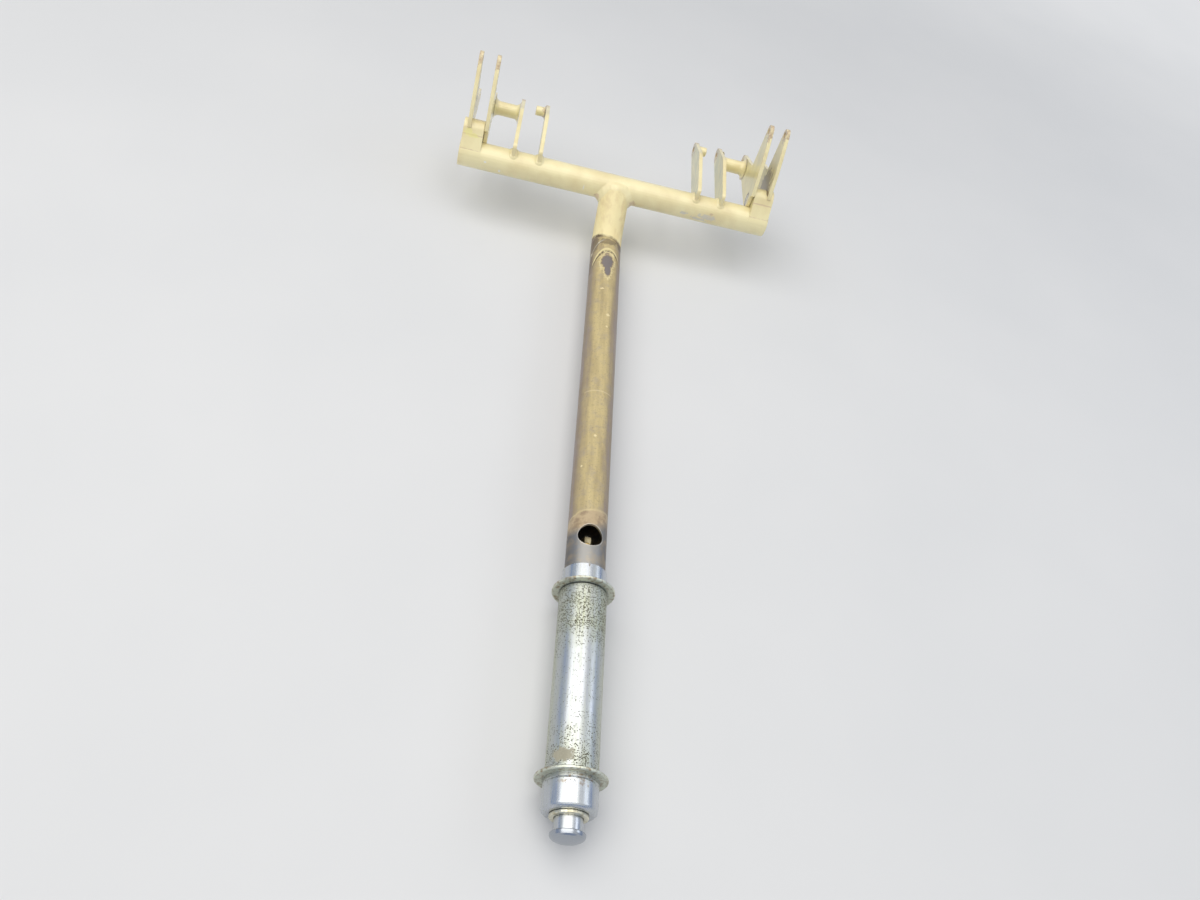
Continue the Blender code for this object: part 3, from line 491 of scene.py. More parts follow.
def olive_paint(tube):
    """Thin olive paint with a painted shade and a painted mauve sheen along the sides, grime and
    specks.
    """
    add = tube.add
    dark = add("MapRange", [tube.streaks, 0.42, 0.78])
    worn = add("MapRange", [tube.streaks, 0.45, 0.62, 0.0, 0.8])
    grimy = add("TexNoise", {"Vector": tube.point, "Scale": per_metre(9), "Detail": 6.0,
                             "Roughness": 0.7})
    grimy = add("MapRange", [grimy, 0.5, 0.7, 0.0, 0.45])
    speckle = add("MapRange", [tube.fine, 0.56, 0.7, 0.0, 0.4])
    # The flanks get a painted shade in darker olive, with mauve streaks over it as a painted
    # sheen.
    return lay_over(add, OLIVE, (OLIVE_DARK, dark), (OLIVE_FLANK_SHADE_AND_SPECK, tube.held),
                    (MAUVE, worn, tube.held), (MAUVE, grimy), (OLIVE_FLANK_SHADE_AND_SPECK, speckle))


# %% [markdown]
# ## Lines at the bend and the end of the cream
# Bending left creases in the tube. A painted highlight runs pale along one of them with a painted
# shadow line below it, and another painted highlight runs along a crease round one flank. Bands
# of colour draw these lines, so the mesh stays as it is. The cream of the head was masked off,
# which left a broken dark line, and stains gather near it.

# %% Painted crease highlights and shadow, and the end of the cream
def bend_lines(tube, colour):
    add = tube.add
    # A painted highlight along the ridge, a painted shadow line below it, and a highlight on the
    # left flank.
    ridge = curved_border(tube, *BEND_RIDGE)
    shadow = add("Math", [ridge, 3.4], operation="ADD")
    crease_highlight = curved_border(tube, *FLANK_CREASE)
    top = between(tube, -1.0, 0.55)
    flank = between(tube, -1.75, -0.45)
    return lay_over(add, colour, (CREAM_RIDGE_HIGHLIGHT_AND_EDGE, band(add, tube.slight, ridge, 2.6), top),
                    (DARK_RING_AND_CREASE_SHADOW, band(add, tube.slight, shadow, 1.3), top),
                    (CREASE_HIGHLIGHT_WHITE, band(add, tube.slight, crease_highlight, 1.7), flank))


def cream_end(tube, colour):
    """The head's cream above its border, the masked line and the stains."""
    add = tube.add
    border = curved_border(tube, *CREAM_END)
    tube.painted = below(add, tube.slight, border, 0.8)
    cloud = add("TexNoise", {"Vector": tube.point, "Scale": per_metre(14), "Detail": 4.0})
    smear = add("MapRange", [tube.streaks, 0.48, 0.66, 0.0, 0.55])
    cream = lay_over(add, CREAM, (CREAM_DARK, cloud), (CREAM_SMEAR, smear))
    faded = add("MapRange", [tube.side, 0.1, 0.55, 0.3, 0.95])
    broken = add("MapRange", [tube.ragged, 0.38, 0.55, 0.35])
    masked = band(add, tube.slight, border, 2.4)
    masked = add("Math", [masked, faded], operation="MULTIPLY")
    masked = add("Math", [masked, broken], operation="MULTIPLY")
    stain = mark_mask(add, tube.point, STAINS, 0.8, 4.0)
    stain = add("Math", [stain, 0.6], operation="MULTIPLY")
    masked = add("Math", [masked, stain], operation="MAXIMUM")
    return lay_over(add, cream, (colour, tube.painted), (DARK_RING_AND_CREASE_SHADOW, masked))


# %% [markdown]
# ## Primer, bare steel and the hole's lip
# The collar slides over the tube's lower part and has taken the paint off. The primer's border is
# fairly sharp, while the steel shows through the primer over a blur of 6 mm. The lock pin has
# rubbed the rim of its hole bright. A distance from the hole's axis finds that rim.

# %% Primer, steel and lip
def primer_and_steel(tube, colour):
    add = tube.add
    start = curved_border(tube, *PRIMER_START)
    primed = below(add, tube.half_loose, start, 2.6)
    mottle = add("MapRange", [tube.ragged, 0.44, 0.6, 0.0, 0.8])
    primer = lay_over(add, PRIMER_TAN, (PRIMER_DARK, mottle))
    pale = band(add, tube.half_loose, start, 1.1)
    tube.bare = below(add, tube.loose, curved_border(tube, *STEEL_START), 6.0)
    tarnish = add("MapRange", [tube.ragged, 0.44, 0.64, 0.0, 0.4])
    # The bare steel's sides get a painted shade; the tan tarnish is the steel's own.
    steel = lay_over(add, STEEL_GREY, (STEEL_FLANK_SHADE, tube.held), (PRIMER_TAN, tarnish))
    return lay_over(add, colour, (primer, primed), (CREAM_RIDGE_HIGHLIGHT_AND_EDGE, pale, 0.3), (steel, tube.bare))


def hole_lip(tube, colour):
    """The rim of the hole, rubbed bright on the tube's upper side only."""
    add = tube.add
    flat = add("VectorMath", [tube.point, (1.0, 1.0, 0.0)], operation="MULTIPLY")
    hole = (0.0, PIVOT.y - HOLE_STATION * MM, 0.0)
    away = add("VectorMath", [flat, hole], operation="DISTANCE").outputs["Value"]
    lip = add("MapRange", [away, (HOLE_RADIUS + 0.65) * MM, (HOLE_RADIUS + 0.3) * MM])
    rubbed = add("MapRange", [tube.ragged, 0.4, 0.6, 0.45])
    lip = add("Math", [lip, rubbed], operation="MULTIPLY")
    height = add("SeparateXYZ", [tube.point]).outputs["Z"]
    on_top = add("Math", [height, LEVER_Z + 5 * MM], operation="GREATER_THAN")
    tube.lip = add("Math", [lip, on_top], operation="MULTIPLY")
    return lay_over(add, colour, (LIP_BRIGHT, tube.lip))


# %% [markdown]
# ## Round walls
# The model's round walls are made of flat facets, which a shiny metal would show as stripes. The
# normal that the shader gets is therefore turned to point away from the lever's axis, as a lathe
# leaves it. Walls that don't face the axis, such as the rim of the lock pin's hole, keep their
# own, and so does the bend, whose axis is another one.

# %% Round walls and the worn lever tube
def lathe_normal(add, point):
    """A mask for round walls, a facet's normal, and that normal turned to a round wall's."""
    facet = add("NewGeometry").outputs["True Normal"]
    arm = add("VectorMath", [point, (0.0, 0.0, LEVER_Z)], operation="SUBTRACT")
    arm = add("VectorMath", [arm, (1.0, 0.0, 1.0)], operation="MULTIPLY")
    outwards = add("VectorMath", [arm], operation="NORMALIZE")
    across = add("VectorMath", [facet, (1.0, 0.0, 1.0)], operation="MULTIPLY")
    along = add("VectorMath", [facet, (0.0, 1.0, 0.0)], operation="MULTIPLY")
    length = add("VectorMath", [across], operation="LENGTH").outputs["Value"]
    facing = add("VectorMath", [across, outwards], operation="DOT_PRODUCT").outputs["Value"]
    way = add("Math", [facing], operation="SIGN")
    way = add("Math", [way, length], operation="MULTIPLY")
    turned = add("VectorMath", {0: outwards, "Scale": way}, operation="SCALE")
    turned = add("VectorMath", [turned, along], operation="ADD")
    near = add("Math", [length, 0.96], operation="MULTIPLY")
    facing = add("Math", [facing], operation="ABSOLUTE")
    round_wall = add("Math", [facing, near], operation="GREATER_THAN")
    return round_wall, facet, turned


def worn_lever_tube():
    material, shader, add = new_material("worn_olive_paint_on_steel_tube")
    tube = tube_patterns(add)
    colour = bend_lines(tube, olive_paint(tube))
    ring = band(add, tube.slight, RUBBED_RING, 0.9)
    colour = lay_over(add, colour, (NICK_PALE, ring, between(tube, -0.75, 0.6), 0.4))
    colour, masks = lay_marks(add, tube.point, colour, TUBE_MARKS)
    colour = hole_lip(tube, primer_and_steel(tube, cream_end(tube, colour)))
    metal = add("Math", [tube.bare, tube.lip], operation="MAXIMUM")
    dull = add("Math", [masks["bare"], 0.55], operation="MULTIPLY")
    metal = add("Math", [metal, dull], operation="MAXIMUM")
    rough = add("MapRange", [tube.streaks, 0.0, 1.0, 0.3, 0.52])
    polished = add("MapRange", [tube.streaks, 0.0, 1.0, 0.38, 0.55])
    rough = add("Mix", {"Factor": metal, "A": rough, "B": polished}, data_type="FLOAT")
    height = add("Math", [masks["bare"], -1.2, tube.fine], operation="MULTIPLY_ADD")
    height = add("Math", [tube.painted, -0.8, height], operation="MULTIPLY_ADD")
    round_wall, facet, turned = lathe_normal(add, tube.point)
    straight = add("Math", [tube.station, BEND_END], operation="GREATER_THAN")
    round_wall = add("Math", [round_wall, straight], operation="MULTIPLY")
    wall = add("MixRGB", [round_wall, facet, turned])
    relief = add("Bump", {"Strength": 0.45, "Distance": 0.12 * MM, "Height": height,
                          "Normal": wall})
    feed(shader, {"Base Color": colour, "Metallic": metal, "Roughness": rough, "Normal": relief})
    return material


LEVER_FINISH = worn_lever_tube()
print("lever tube nodes:", len(LEVER_FINISH.node_tree.nodes))

# %% [markdown]
# ## Pitted chrome plate
# Chrome plate is a thin, hard mirror over steel. Where moisture creeps through it, rust lifts it
# in dots, which give the eye a dark pepper over the shine. Voronoi cells of 0.62 mm hold one dot
# each, and each cell's random colour sets its size. How many cells carry a dot depends on the
# station: the pepper is dense at the grip's upper end, thin in its middle and dense again at the
# lower flange.

# %% Colours and places of the chrome
CHROME = srgb("#BBBFC6")
DULL_CHROME_AND_FLANK_SHADE = srgb("#B9BCA0")
PIT = srgb("#55503A")
FLANGE_DULL = srgb("#CFD2C3")
RUST = srgb("#8A6F4A")
BUTTON_HEAD_SHADE = srgb("#9FA4AC")
BARE_BROWN = srgb("#B2AE9C")
GRIP_START = 370.0
GRIP_END = 536.0
BUTTON_EDGE = (527.5, 529.0)
FLANGE_EDGE = (15.1 * MM, 15.7 * MM)
# Each pair is a station and how much of the plate the pits take there.
PEPPER = (
    (374.0, 0.0), (387.0, 0.06), (389.5, 0.75), (400.0, 0.95), (416.0, 0.95), (430.0, 0.55),
    (440.0, 0.44), (468.0, 0.42), (480.0, 0.6), (499.0, 0.78), (502.5, 0.6), (507.0, 0.4),
    (512.0, 0.12), (519.0, 0.16), (523.0, 0.3), (527.0, 0.1), (535.0, 0.04),
)
SLEEVE_PART = ((388.0, 0.0), (389.0, 1.0), (500.4, 1.0), (501.0, 0.0))
CAP_STAINS = [
    (Vector((side * 4.5 * MM, PIVOT.y - 505.5 * MM, LEVER_Z + 14.0 * MM)),
     (7.0 * MM, 3.2 * MM, 4.0 * MM)) for side in (-1.1, 0.9)
]
BARE_SPOT = [
    (Vector((-7.8 * MM, PIVOT.y - 493.0 * MM, LEVER_Z + 11.8 * MM)),
     (6.2 * MM, 3.6 * MM, 6.0 * MM))
]
print("pepper between stations", PEPPER[0][0], "and", PEPPER[-1][0])


# %% Pepper, haze and painted flank shade
def along_grip(add, along, pairs):
    """A value that changes along the grip, from pairs of a station and a value."""
    stops = [((station - GRIP_START) / (GRIP_END - GRIP_START), (value, value, value, 1.0))
             for station, value in pairs]
    return add("ValToRGB", [along], stops=stops)


def chrome_patterns(add):
    """Coordinates and patterns that the steps of the chrome share."""
    grip = SimpleNamespace(point=add("TexCoord").outputs["Object"])
    grip.station, grip.angle = tube_coordinates(add, grip.point)
    grip.along = add("MapRange", [grip.station, GRIP_START, GRIP_END])
    grip.patch = add("TexNoise", {"Vector": grip.point, "Scale": per_metre(9), "Detail": 3.0})
    spread = add("MapRange", [grip.patch, 0.0, 1.0, 0.45, 1.5])
    grip.pepper = add("Math", [along_grip(add, grip.along, PEPPER), spread],
                      operation="MULTIPLY", use_clamp=True)
    stretched = add("VectorMath", [grip.point, (1.0, 0.05, 1.0)], operation="MULTIPLY")
    rubbed = add("TexNoise", {"Vector": stretched, "Scale": per_metre(1.6), "Detail": 4.0})
    rubbed = add("MapRange", [rubbed, 0.4, 0.65])
    # A painted shade on the button's head; it also keeps the rubbed streaks off the head.
    grip.thumbed = add("MapRange", [grip.station, *BUTTON_EDGE, 0.0, 0.8])
    unthumbed = add("Math", [1.0, grip.thumbed], operation="SUBTRACT")
    grip.rubbed = add("Math", [rubbed, unthumbed], operation="MULTIPLY")
    return grip


def pits(add, grip):
    """One dot in each cell of the plate, where the pepper reaches the cell's own chance."""
    cells = add("TexVoronoi", {"Vector": grip.point, "Scale": per_metre(0.62)})
    chance = add("SeparateXYZ", [cells.outputs["Color"]])
    grown_by = add("Math", [grip.pepper, chance], operation="SUBTRACT")
    size = add("MapRange", [grown_by, 0.0, 0.6, 0.0, 0.62])
    inside = add("Math", [size, cells.outputs["Distance"]], operation="SUBTRACT")
    return add("MapRange", [inside, 0.0, 0.12])


def haze_and_flank_shade(add, grip):
    """Dulled plate among dense pepper and where hands rubbed it, and a painted shade on the
    sleeve's flanks.
    """
    haze = add("MapRange", [grip.pepper, 0.3, 1.0, 0.0, 0.6])
    # A painted shade: the sleeve's flanks are dulled more than its top.
    flank = add("Math", [grip.angle, 0.2], operation="ADD")
    flank = add("Math", [flank], operation="ABSOLUTE")
    flank = add("Math", [grip.patch, -0.5, flank], operation="MULTIPLY_ADD")
    flank = add("MapRange", [flank, 0.35, 1.1, 0.0, 0.55])
    sleeve = along_grip(add, grip.along, SLEEVE_PART)
    flank = add("Math", [flank, sleeve], operation="MULTIPLY")
    haze = add("Math", [haze, flank], operation="MAXIMUM")
    return add("Math", [grip.rubbed, 0.25, haze], operation="MULTIPLY_ADD", use_clamp=True)


# %% [markdown]
# ## Flanges, stains and bare spots
# The flanges stand further from the axis than the sleeve, so a distance from the axis finds them.
# Their plate has gone dull and carries rust stains. Close to the lower flange the plate has
# peeled off one spot. Where plate is lost, the surface is rougher and less of a metal mirror.

# %% Pitted chrome
def flange_mask(add, point):
    parts = add("SeparateXYZ", [point])
    height = add("Math", [parts.outputs["Z"], LEVER_Z], operation="SUBTRACT")
    flat = add("CombineXYZ", [parts, height, 0.0])
    radius = add("VectorMath", [flat], operation="LENGTH").outputs["Value"]
    return add("MapRange", [radius, *FLANGE_EDGE])


def pitted_chrome():
    material, shader, add = new_material("pitted_chrome_plate")
    grip = chrome_patterns(add)
    point = grip.point
    flange = flange_mask(add, point)
    spared = add("MapRange", [flange, 0.0, 1.0, 1.0, 0.35])
    pit = add("Math", [pits(add, grip), spared], operation="MULTIPLY")
    blotch = add("TexNoise", {"Vector": point, "Scale": per_metre(2.4), "Detail": 5.0})
    rust = add("MapRange", [blotch, 0.5, 0.66, 0.0, 0.7])
    stained = mark_mask(add, point, CAP_STAINS, 0.8, 2.0)
    stained = add("Math", [stained, flange], operation="MAXIMUM")
    bare = mark_mask(add, point, BARE_SPOT, 0.8, 2.6)
    # The button's head is painted darker grey as shade over the chrome.
    colour = lay_over(add, CHROME, (BUTTON_HEAD_SHADE, grip.thumbed),
                      (DULL_CHROME_AND_FLANK_SHADE, haze_and_flank_shade(add, grip)), (FLANGE_DULL, flange),
                      (RUST, rust, stained), (PIT, pit), (BARE_BROWN, bare))
    rough = add("MapRange", [grip.pepper, 0.0, 0.9, 0.2, 0.42])
    rough = add("Math", [grip.rubbed, 0.09, rough], operation="MULTIPLY_ADD")
    lost = add("Math", [flange, 0.16], operation="MULTIPLY")
    lost = add("Math", [lost, pit], operation="MAXIMUM")
    lost = add("Math", [lost, bare], operation="MAXIMUM")
    rough = add("Math", [lost, 0.42, rough], operation="MULTIPLY_ADD", use_clamp=True)
    metal = add("MapRange", [lost, 0.0, 1.0, 1.0, 0.35])
    wall = add("MixRGB", lathe_normal(add, point))
    sunk = add("Math", [pit, -1.0], operation="MULTIPLY")
    relief = add("Bump", {"Strength": 0.6, "Distance": 0.12 * MM, "Height": sunk, "Normal": wall})
    feed(shader, {"Base Color": colour, "Metallic": metal, "Roughness": rough, "Normal": relief})
    return material


PITTED_CHROME = pitted_chrome()
print("chrome nodes:", len(PITTED_CHROME.node_tree.nodes))

# %% [markdown]
# ## Turned brass, bronze and bare steel
# The small inner pieces are turned on a lathe. A tool leaves fine rings round the axis and the
# metal darkens with age. A Wave texture in rings could draw them, but noise that is squeezed
# along the axis looks less regular and needs no centre. Brass, bronze and steel differ in colour
# alone, so one function makes all three.

# %% Turned metals
TOOL_STEP = 0.5
TARNISH_STEP = 4
ACROSS_LEVER = (0.15, 1.0, 0.15)
ACROSS_PIVOT = (1.0, 0.15, 0.15)


def turned_metal(name, bright, tarnished, roughness, squeeze=ACROSS_LEVER):
    """A turned metal whose rings lie across the axis that is squeezed."""
    material, shader, add = new_material(name)
    point = add("TexCoord").outputs["Object"]
    squeezed = add("VectorMath", [point, squeeze], operation="MULTIPLY")
    rings = add("TexNoise", {"Vector": squeezed, "Scale": per_metre(TOOL_STEP), "Detail": 2.0})
    age = add("TexNoise", {"Vector": point, "Scale": per_metre(TARNISH_STEP), "Detail": 5.0})
    dark = add("MapRange", [age, 0.42, 0.66])
    rough = add("MapRange", [rings, 0.0, 1.0, roughness - 0.08, roughness + 0.12])
    relief = add("Bump", {"Strength": 0.25, "Distance": 0.03 * MM, "Height": rings})
    feed(shader, {"Base Color": lay_over(add, srgb(bright), (srgb(tarnished), dark)),
                  "Metallic": 1.0, "Roughness": rough, "Normal": relief})
    return material


BRASS = turned_metal("turned_brass", "#D9C489", "#9A7D42", 0.32)
NUT_METAL = turned_metal("dull_brass_nut", "#B4AA8C", "#6A5F48", 0.42)
BUSH_METAL = turned_metal("tinned_brass_bush", "#E4E1CE", "#BAB190", 0.3)
BRONZE = turned_metal("bearing_bronze", "#B98A55", "#6E4D2C", 0.45, ACROSS_PIVOT)
STEEL = turned_metal("drawn_steel", "#B9B6B0", "#7F7A72", 0.34)

# %% [markdown]
# ## Give each node its finish
# Each piece of the model has one slot for a material, and its finish replaces what is there.

# %% Assign the finishes
FINISHES = {
    "lever_tube": LEVER_FINISH,
    "guide_plug": BRASS, "rod_nut": NUT_METAL, "end_bush": BUSH_METAL,
    "left_pivot_bushing": BRONZE, "right_pivot_bushing": BRONZE,
    "upper_collar": PITTED_CHROME, "grip_sleeve": PITTED_CHROME, "end_cap": PITTED_CHROME,
    "push_button": PITTED_CHROME,
    "plug_rivet": STEEL, "release_rod": STEEL, "rod_pin": STEEL, "grip_spring": STEEL,
    "button_spring": STEEL,
}
for name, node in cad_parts.items():
    node.data.materials.clear()
    node.data.materials.append(FINISHES.get(name, ENAMEL))
print("in cream enamel:", sorted(set(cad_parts) - set(FINISHES)))

# %% [markdown]
# ## Weld beads as closed skins
# A weld bead is a rounded ridge that follows the joint. A curve with a round bevel would give a
# plain ring, but a fillet between two tubes changes its section all the way round. So each bead
# is a loft: a row of closed sections, each joined to the next, and the last to the first or
# closed by a cap.

# %% Loft a bead
def place_in_scene(name, data):
    """A new object that shows a mesh, a light or a camera."""
    thing = bpy.data.objects.new(name, data)
    bpy.context.scene.collection.objects.link(thing)
    return thing


def mesh_of(build, name):
    """A finished mesh from what was built."""
    mesh = bpy.data.meshes.new(name)
    build.to_mesh(mesh)
    build.free()
    return mesh


def loft(name, sections, joined, finish=BEAD_ENAMEL, body="lever"):
    """A closed skin over sections that all have as many points; joined ones form a ring."""
    build = bmesh.new()
    rows = [[build.verts.new(point) for point in section] for section in sections]
    count = len(rows[0])
    last = len(rows) if joined else len(rows) - 1
    for step in range(last):
        here, there = rows[step], rows[(step + 1) % len(rows)]
        for place in range(count):
            after = (place + 1) % count
            build.faces.new((here[place], here[after], there[after], there[place]))
    if not joined:
        build.faces.new(rows[0])
        build.faces.new(rows[-1])
    bmesh.ops.recalc_face_normals(build, faces=build.faces)
    mesh = mesh_of(build, name)
    mesh.shade_smooth()
    mesh.set_sharp_from_angle(angle=math.radians(60))
    mesh.materials.append(finish)
    piece = place_in_scene(name, mesh)
    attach(piece, body)
    return piece


def bezier(start, control, end, steps):
    """Points on a curve between two ends that is drawn towards its control point."""
    points = []
    for step in range(steps + 1):
        t = step / steps
        points.append(start * (1 - t) ** 2 + control * 2 * t * (1 - t) + end * t * t)
    return points


# %% [markdown]
# ## The tee weld
# The lever tube's upper end is cut to fit the cross tube and welded all round. The fillet starts
# on the lever tube, sinks into the corner and runs out on the cross tube. Each section is a
# Bezier curve between those two lines, whose control point sits in the corner, pushed out a
# little so that the bead stands full. A slow ripple gives the ridges that a hand weld leaves.

# %% Tee weld
STUB_DIRECTION = Vector((0.0, -0.823, -0.568))
STUB_UP = Vector((0.0, -0.568, 0.823))
STUB_END = 3.2 * MM
SADDLE_RADIUS = CROSS_RADIUS + 0.3 * MM
WELD_LEG = 4.2 * MM
SUNK = 0.08 * MM
RIPPLES = 26
TEE_STEPS = 104


def onto_cross_tube(point):
    """The nearest point on the cross tube's surface, sunk a little into it."""
    offset = Vector((0.0, point.y - PIVOT.y, point.z - PIVOT.z))
    offset = offset.normalized() * (CROSS_RADIUS - SUNK)
    return Vector((point.x, PIVOT.y + offset.y, PIVOT.z + offset.z))


def tee_section(turn):
    """The bead's section at an angle round the lever tube."""
    beside, ahead = abs(math.sin(turn)), abs(math.cos(turn))
    out = STUB_UP * math.cos(turn) + Vector((math.sin(turn), 0.0, 0.0))
    flat = LEVER_RADIUS * math.cos(turn)
    reach = max(STUB_END, math.sqrt(max(0.0, SADDLE_RADIUS ** 2 - flat ** 2)))
    corner = PIVOT + STUB_DIRECTION * reach + out * LEVER_RADIUS
    start = corner + STUB_DIRECTION * WELD_LEG - out * SUNK
    end = onto_cross_tube(corner + (out * beside - STUB_DIRECTION * ahead) * WELD_LEG)
    fullness = (1.4 + 0.3 * math.sin(RIPPLES * turn)) * MM
    control = corner + (out + STUB_DIRECTION * beside) * fullness
    inner = corner - out * 1.2 * MM - STUB_DIRECTION * 0.3 * MM
    return bezier(start, control, end, 8) + [inner]


tee_weld = loft("tee_weld", [tee_section(math.tau * step / TEE_STEPS)
                             for step in range(TEE_STEPS)], joined=True)
print("tee weld:", len(tee_weld.data.polygons), "faces")

# %% [markdown]
# ## Foot welds of the straps
# Each strap stands on the cross tube in a bead that runs up one side, round its front edge and
# down the other side. A round bar would sit on the joint like a ring. A bead is a full, rounded
# skirt: it leaves the plate a little above the tube and runs out on the tube, so each section is
# again a Bezier curve. The lines it runs between close on themselves round the plate.

# %% Foot welds
PLATE_HALF = 1.6 * MM
BEAD_HEIGHT = 1.2 * MM
BEAD_REACH = 2.4 * MM
STRAP_FRONT = 0.36
STRAP_REAR = -1.11


def on_cross(x, angle, lift):
    """A point over the cross tube; the angle is from its top towards the grip."""
    reach = CROSS_RADIUS + lift
    return Vector((x, PIVOT.y - reach * math.sin(angle), PIVOT.z + reach * math.cos(angle)))


def foot_line(x, offset, lift, steps=14, ends=7):
    """A closed line round a strap's foot, with half circles at its front and rear."""
    turn = offset / CROSS_RADIUS
    line = []
    for side, first, last in ((1, STRAP_FRONT, STRAP_REAR), (-1, STRAP_REAR, STRAP_FRONT)):
        for step in range(steps + 1):
            line.append((x + side * offset, first + (last - first) * step / steps))
        for step in range(1, ends):
            spin = math.pi * step / ends
            line.append((x + side * offset * math.cos(spin), last - side * turn * math.sin(spin)))
    return [on_cross(across, angle, lift) for across, angle in line]


def foot_bead(name, x):
    """A bead round a strap's foot, with a slight ripple in its height."""
    high = foot_line(x, PLATE_HALF - 0.05 * MM, BEAD_HEIGHT)
    deep = foot_line(x, PLATE_HALF + 1.2 * MM, 0.95 * MM)
    low = foot_line(x, PLATE_HALF + BEAD_REACH, -SUNK)
    inner = foot_line(x, PLATE_HALF - 0.7 * MM, -0.5 * MM)
    sections = []
    for place, (start, control, end, back) in enumerate(zip(high, deep, low, inner)):
        up = Vector((0.0, start.y - PIVOT.y, start.z - PIVOT.z)).normalized()
        start = start + up * 0.22 * MM * math.sin(2.1 * place)
        control = control + up * 0.18 * MM * math.sin(2.1 * place)
        sections.append(bezier(start, control, end, 6) + [back])
    return loft(name, sections, joined=True)


for side in ("left", "right"):
    for place in ("outer", "inner"):
        strap = "%s_%s_strap" % (side, place)
        weld = foot_bead(strap + "_foot_weld", middle(strap).x)
        print(weld.name, "at x =", round(middle(strap).x / MM, 1))

# %% [markdown]
# ## Boss seams
# The short boss tube is brazed to the cross tube along its whole length. The braze fills the
# narrow gap beside it in front and behind. Each seam is a strip whose section leaves the boss's
# flank smoothly and runs out on the cross tube.

# %% Boss seams
BOSS_ENDS = (118.1, 135.1)
# Each is where the flank meets the tube, the way out of the tube and the way up the flank.
SEAM_PLACES = {
    "front": ((-9.45, 5.8), (-0.852, 0.524), (0.524, 0.852)),
    "rear": ((10.65, -3.13), (0.959, -0.282), (0.282, 0.959)),
}


def boss_seam(name, side, corner, out, along):
    """A strip down the boss's flank, which then turns round the tube by some degrees."""
    corner, out, along = Vector(corner), Vector(out), Vector(along)
    outline = [corner + along * 4.6 - out * 0.3, corner + along * 2.6 + out * 0.08,
               corner + along * 1.2 + out * 0.14, corner + out * 0.14]
    start = math.atan2(out.y, out.x)
    downwards = -1 if out.x > 0 else 1
    for turn, lift in ((5, 0.13), (10, 0.06), (20, -0.3)):
        bearing = start + downwards * math.radians(turn)
        reach = CROSS_RADIUS / MM + lift
        outline.append(Vector((math.cos(bearing), math.sin(bearing))) * reach)
    outline.append(corner - out * 0.8)
    sections = [[from_pivot(side * x, flat.x, flat.y) for flat in outline] for x in BOSS_ENDS]
    return loft(name, sections, joined=False)


for side, sign in (("left", -1), ("right", 1)):
    for place, (corner, out, along) in SEAM_PLACES.items():
        boss_seam("%s_boss_%s_seam" % (side, place), sign, corner, out, along)
print("boss seams:", 2 * len(SEAM_PLACES))

# %% [markdown]
# ## Springs wound as wire
# Each joint works against a coil spring inside the grip. A fixed solid would stay as long as it
# is and cut through its seat when the grip slides up. The two springs are wound again here as
# drawn wire, in the space that the model keeps for them, and each stands on the body that holds
# its fixed end.

# %% Springs
WIRE_POINTS = 20
WIRE_SIDES = 10


def wound_spring(name, node, body, wire_radius, turns):
    """A coil wound in the space of a CAD spring, from its upper end down."""
    low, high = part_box(node)
    centre = (low + high) / 2
    coil_radius = (high.x - low.x) / 2 - wire_radius
    length = high.y - low.y
    pitch_length = length - 2 * wire_radius
    sections = []
    for step in range(turns * WIRE_POINTS + 1):
        share = step / (turns * WIRE_POINTS)
        turn = math.tau * turns * share
        out = Vector((math.cos(turn), 0.0, math.sin(turn)))
        core = Vector((centre.x, high.y - wire_radius - pitch_length * share, centre.z))
        core += out * coil_radius
        sections.append([
            core + (out * math.cos(side) + Vector((0.0, math.sin(side), 0.0))) * wire_radius
            for side in (math.tau * k / WIRE_SIDES for k in range(WIRE_SIDES))])
    spring = loft(name, sections, joined=False, finish=STEEL, body=body)
    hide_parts(node)
    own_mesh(spring)


wound_spring("grip_spring_wire", "grip_spring", "lever", 0.8 * MM, 6)
wound_spring("button_spring_wire", "button_spring", "grip", 0.7 * MM, 5)

# %% [markdown]
# ## Floor, light and camera
# The studio is a pale floor under one wide soft lamp, a weaker one at the right and a pale sky.
# The wide lamp hangs over the lever, a little to the left and towards the grip, and lies as one
# broad bright stripe on the chrome. Far from the lever the lamps would leave the floor dark. There
# it shows the board's own colour to the camera and to glossy metal, but adds no light. The camera
# stands where the photographer stood.

# %% Floor and sky
BOARD = srgb("#E4E5E7")
BOARD_CLOUD = srgb("#DBDDE0")
FLOOR_HALF = 6.0
LIT_PART = (0.6, 1.6)
SKY_LIGHT = 0.42
SKY_SHOWN = 0.95
SKY_TINTS = ((0.0, "#9DB0D2"), (0.35, "#C3CEDF"), (0.7, "#F4F6F8"))


def shown_rays(add):
    """One for rays that show a background: from the camera, in a gloss or through glass."""
    seen = add("LightPath")
    shown = add("Math", [seen.outputs["Is Camera Ray"], seen.outputs["Is Glossy Ray"]],
                operation="MAXIMUM")
    return add("Math", [shown, seen.outputs["Is Transmission Ray"]], operation="MAXIMUM")


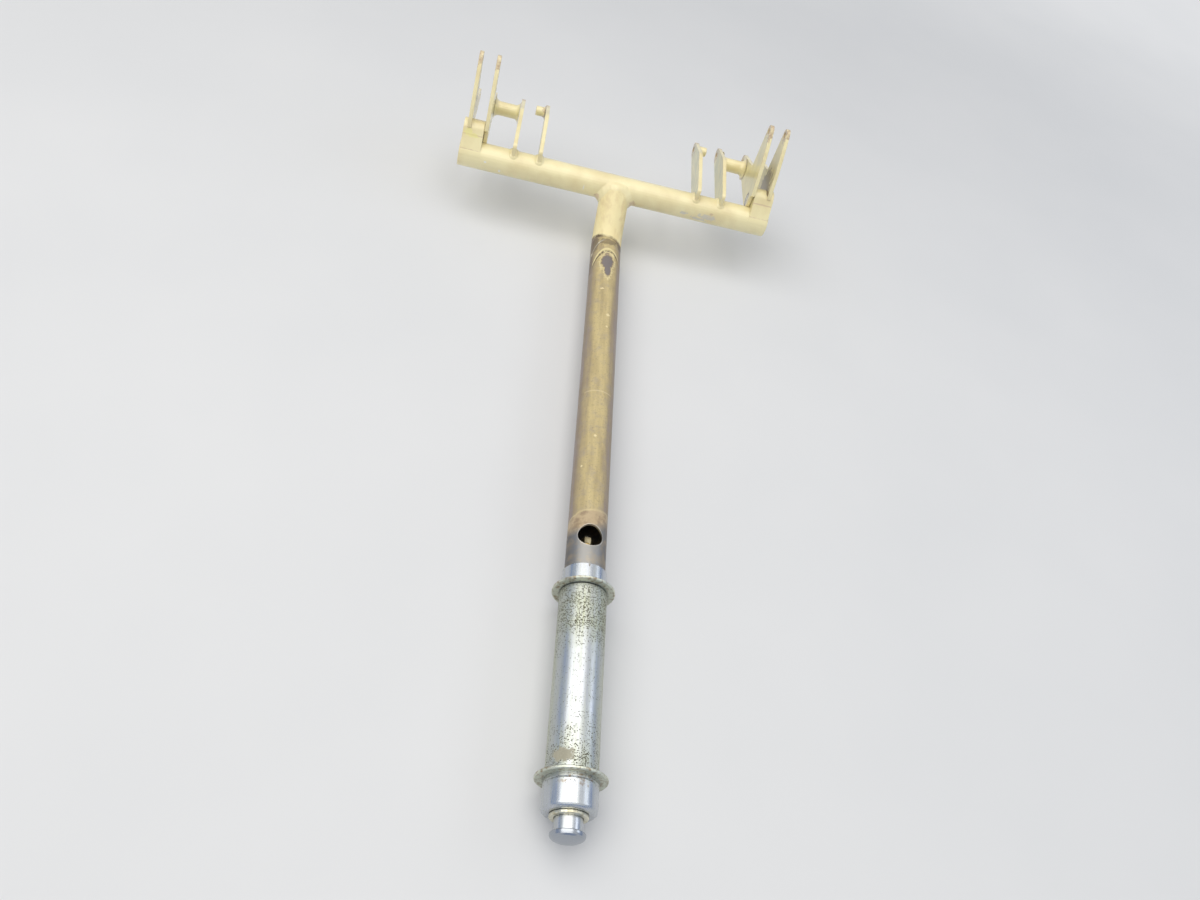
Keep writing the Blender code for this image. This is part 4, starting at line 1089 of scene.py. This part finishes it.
def pale_floor():
    build = bmesh.new()
    bmesh.ops.create_grid(build, x_segments=1, y_segments=1, size=FLOOR_HALF)
    floor = place_in_scene("studio_floor", mesh_of(build, "studio_floor"))
    material, shader, add = new_material("matt_pale_board")
    point = add("TexCoord").outputs["Object"]
    cloud = add("TexNoise", {"Vector": point, "Scale": per_metre(180), "Detail": 3.0})
    colour = lay_over(add, BOARD, (BOARD_CLOUD, cloud))
    feed(shader, {"Base Color": colour, "Roughness": 0.85})
    away = add("VectorMath", [point], operation="LENGTH").outputs["Value"]
    far = add("MapRange", [away, *LIT_PART], interpolation_type="SMOOTHSTEP")
    far = add("Math", [far, shown_rays(add)], operation="MULTIPLY")
    even = add("Emission", [colour])
    mixed = add("MixShader", [far, shader, even])
    feed(material.node_tree.nodes["Material Output"], {"Surface": mixed})
    floor.data.materials.append(material)


def pale_sky():
    world = bpy.data.worlds.new("studio_sky")
    bpy.context.scene.world = world
    world.use_nodes = True
    add = adder(world.node_tree)
    strength = add("MapRange", [shown_rays(add), 0.0, 1.0, SKY_LIGHT, SKY_SHOWN])
    height = add("SeparateXYZ", [add("TexCoord").outputs["Generated"]])
    tint = add("ValToRGB", [height.outputs["Z"]],
               stops=[(place, srgb(code)) for place, code in SKY_TINTS])
    direct = add("LightPath").outputs["Is Camera Ray"]
    feed(world.node_tree.nodes["Background"], {"Color": lay_over(add, tint, (BOARD, direct)),
                                               "Strength": strength})


def soft_lamp(name, place, size, power, colour):
    """A lamp that faces the lever's line; its size is across and along the lever."""
    light = bpy.data.lights.new(name, "AREA")
    light.shape = "RECTANGLE"
    light.size, light.size_y = size
    light.energy = power
    light.color = srgb(colour)[:3]
    lamp = place_in_scene(name, light)
    lamp.location = place
    lamp.rotation_euler = (0.0, math.atan2(place[0], place[2]), 0.0)
    print(name, power, "W")


pale_floor()
pale_sky()
soft_lamp("wide_soft_lamp", (-0.4, -0.15, 1.4), (2.1, 2.0), 23.0, "#FFFBF4")
soft_lamp("right_soft_lamp", (1.2, 0.1, 0.8), (0.4, 1.4), 2.5, "#F4F8FF")

# %% Camera
CAMERA_FROM_PIVOT = (-90.48, -674.0, 436.28)
CAMERA_TURN = (0.6930, -0.2406, 0.0455)
camera_data = bpy.data.cameras.new("photo_camera")
camera_data.sensor_width = 36.0
camera_data.lens = 26.978
camera_data.clip_start = 0.01
camera = place_in_scene("photo_camera", camera_data)
camera.location = from_pivot(*CAMERA_FROM_PIVOT)
camera.rotation_euler = CAMERA_TURN
bpy.context.scene.camera = camera
bpy.context.scene.view_settings.view_transform = "Standard"
print("camera", round(Vector(CAMERA_FROM_PIVOT).length), "mm from the pivot")
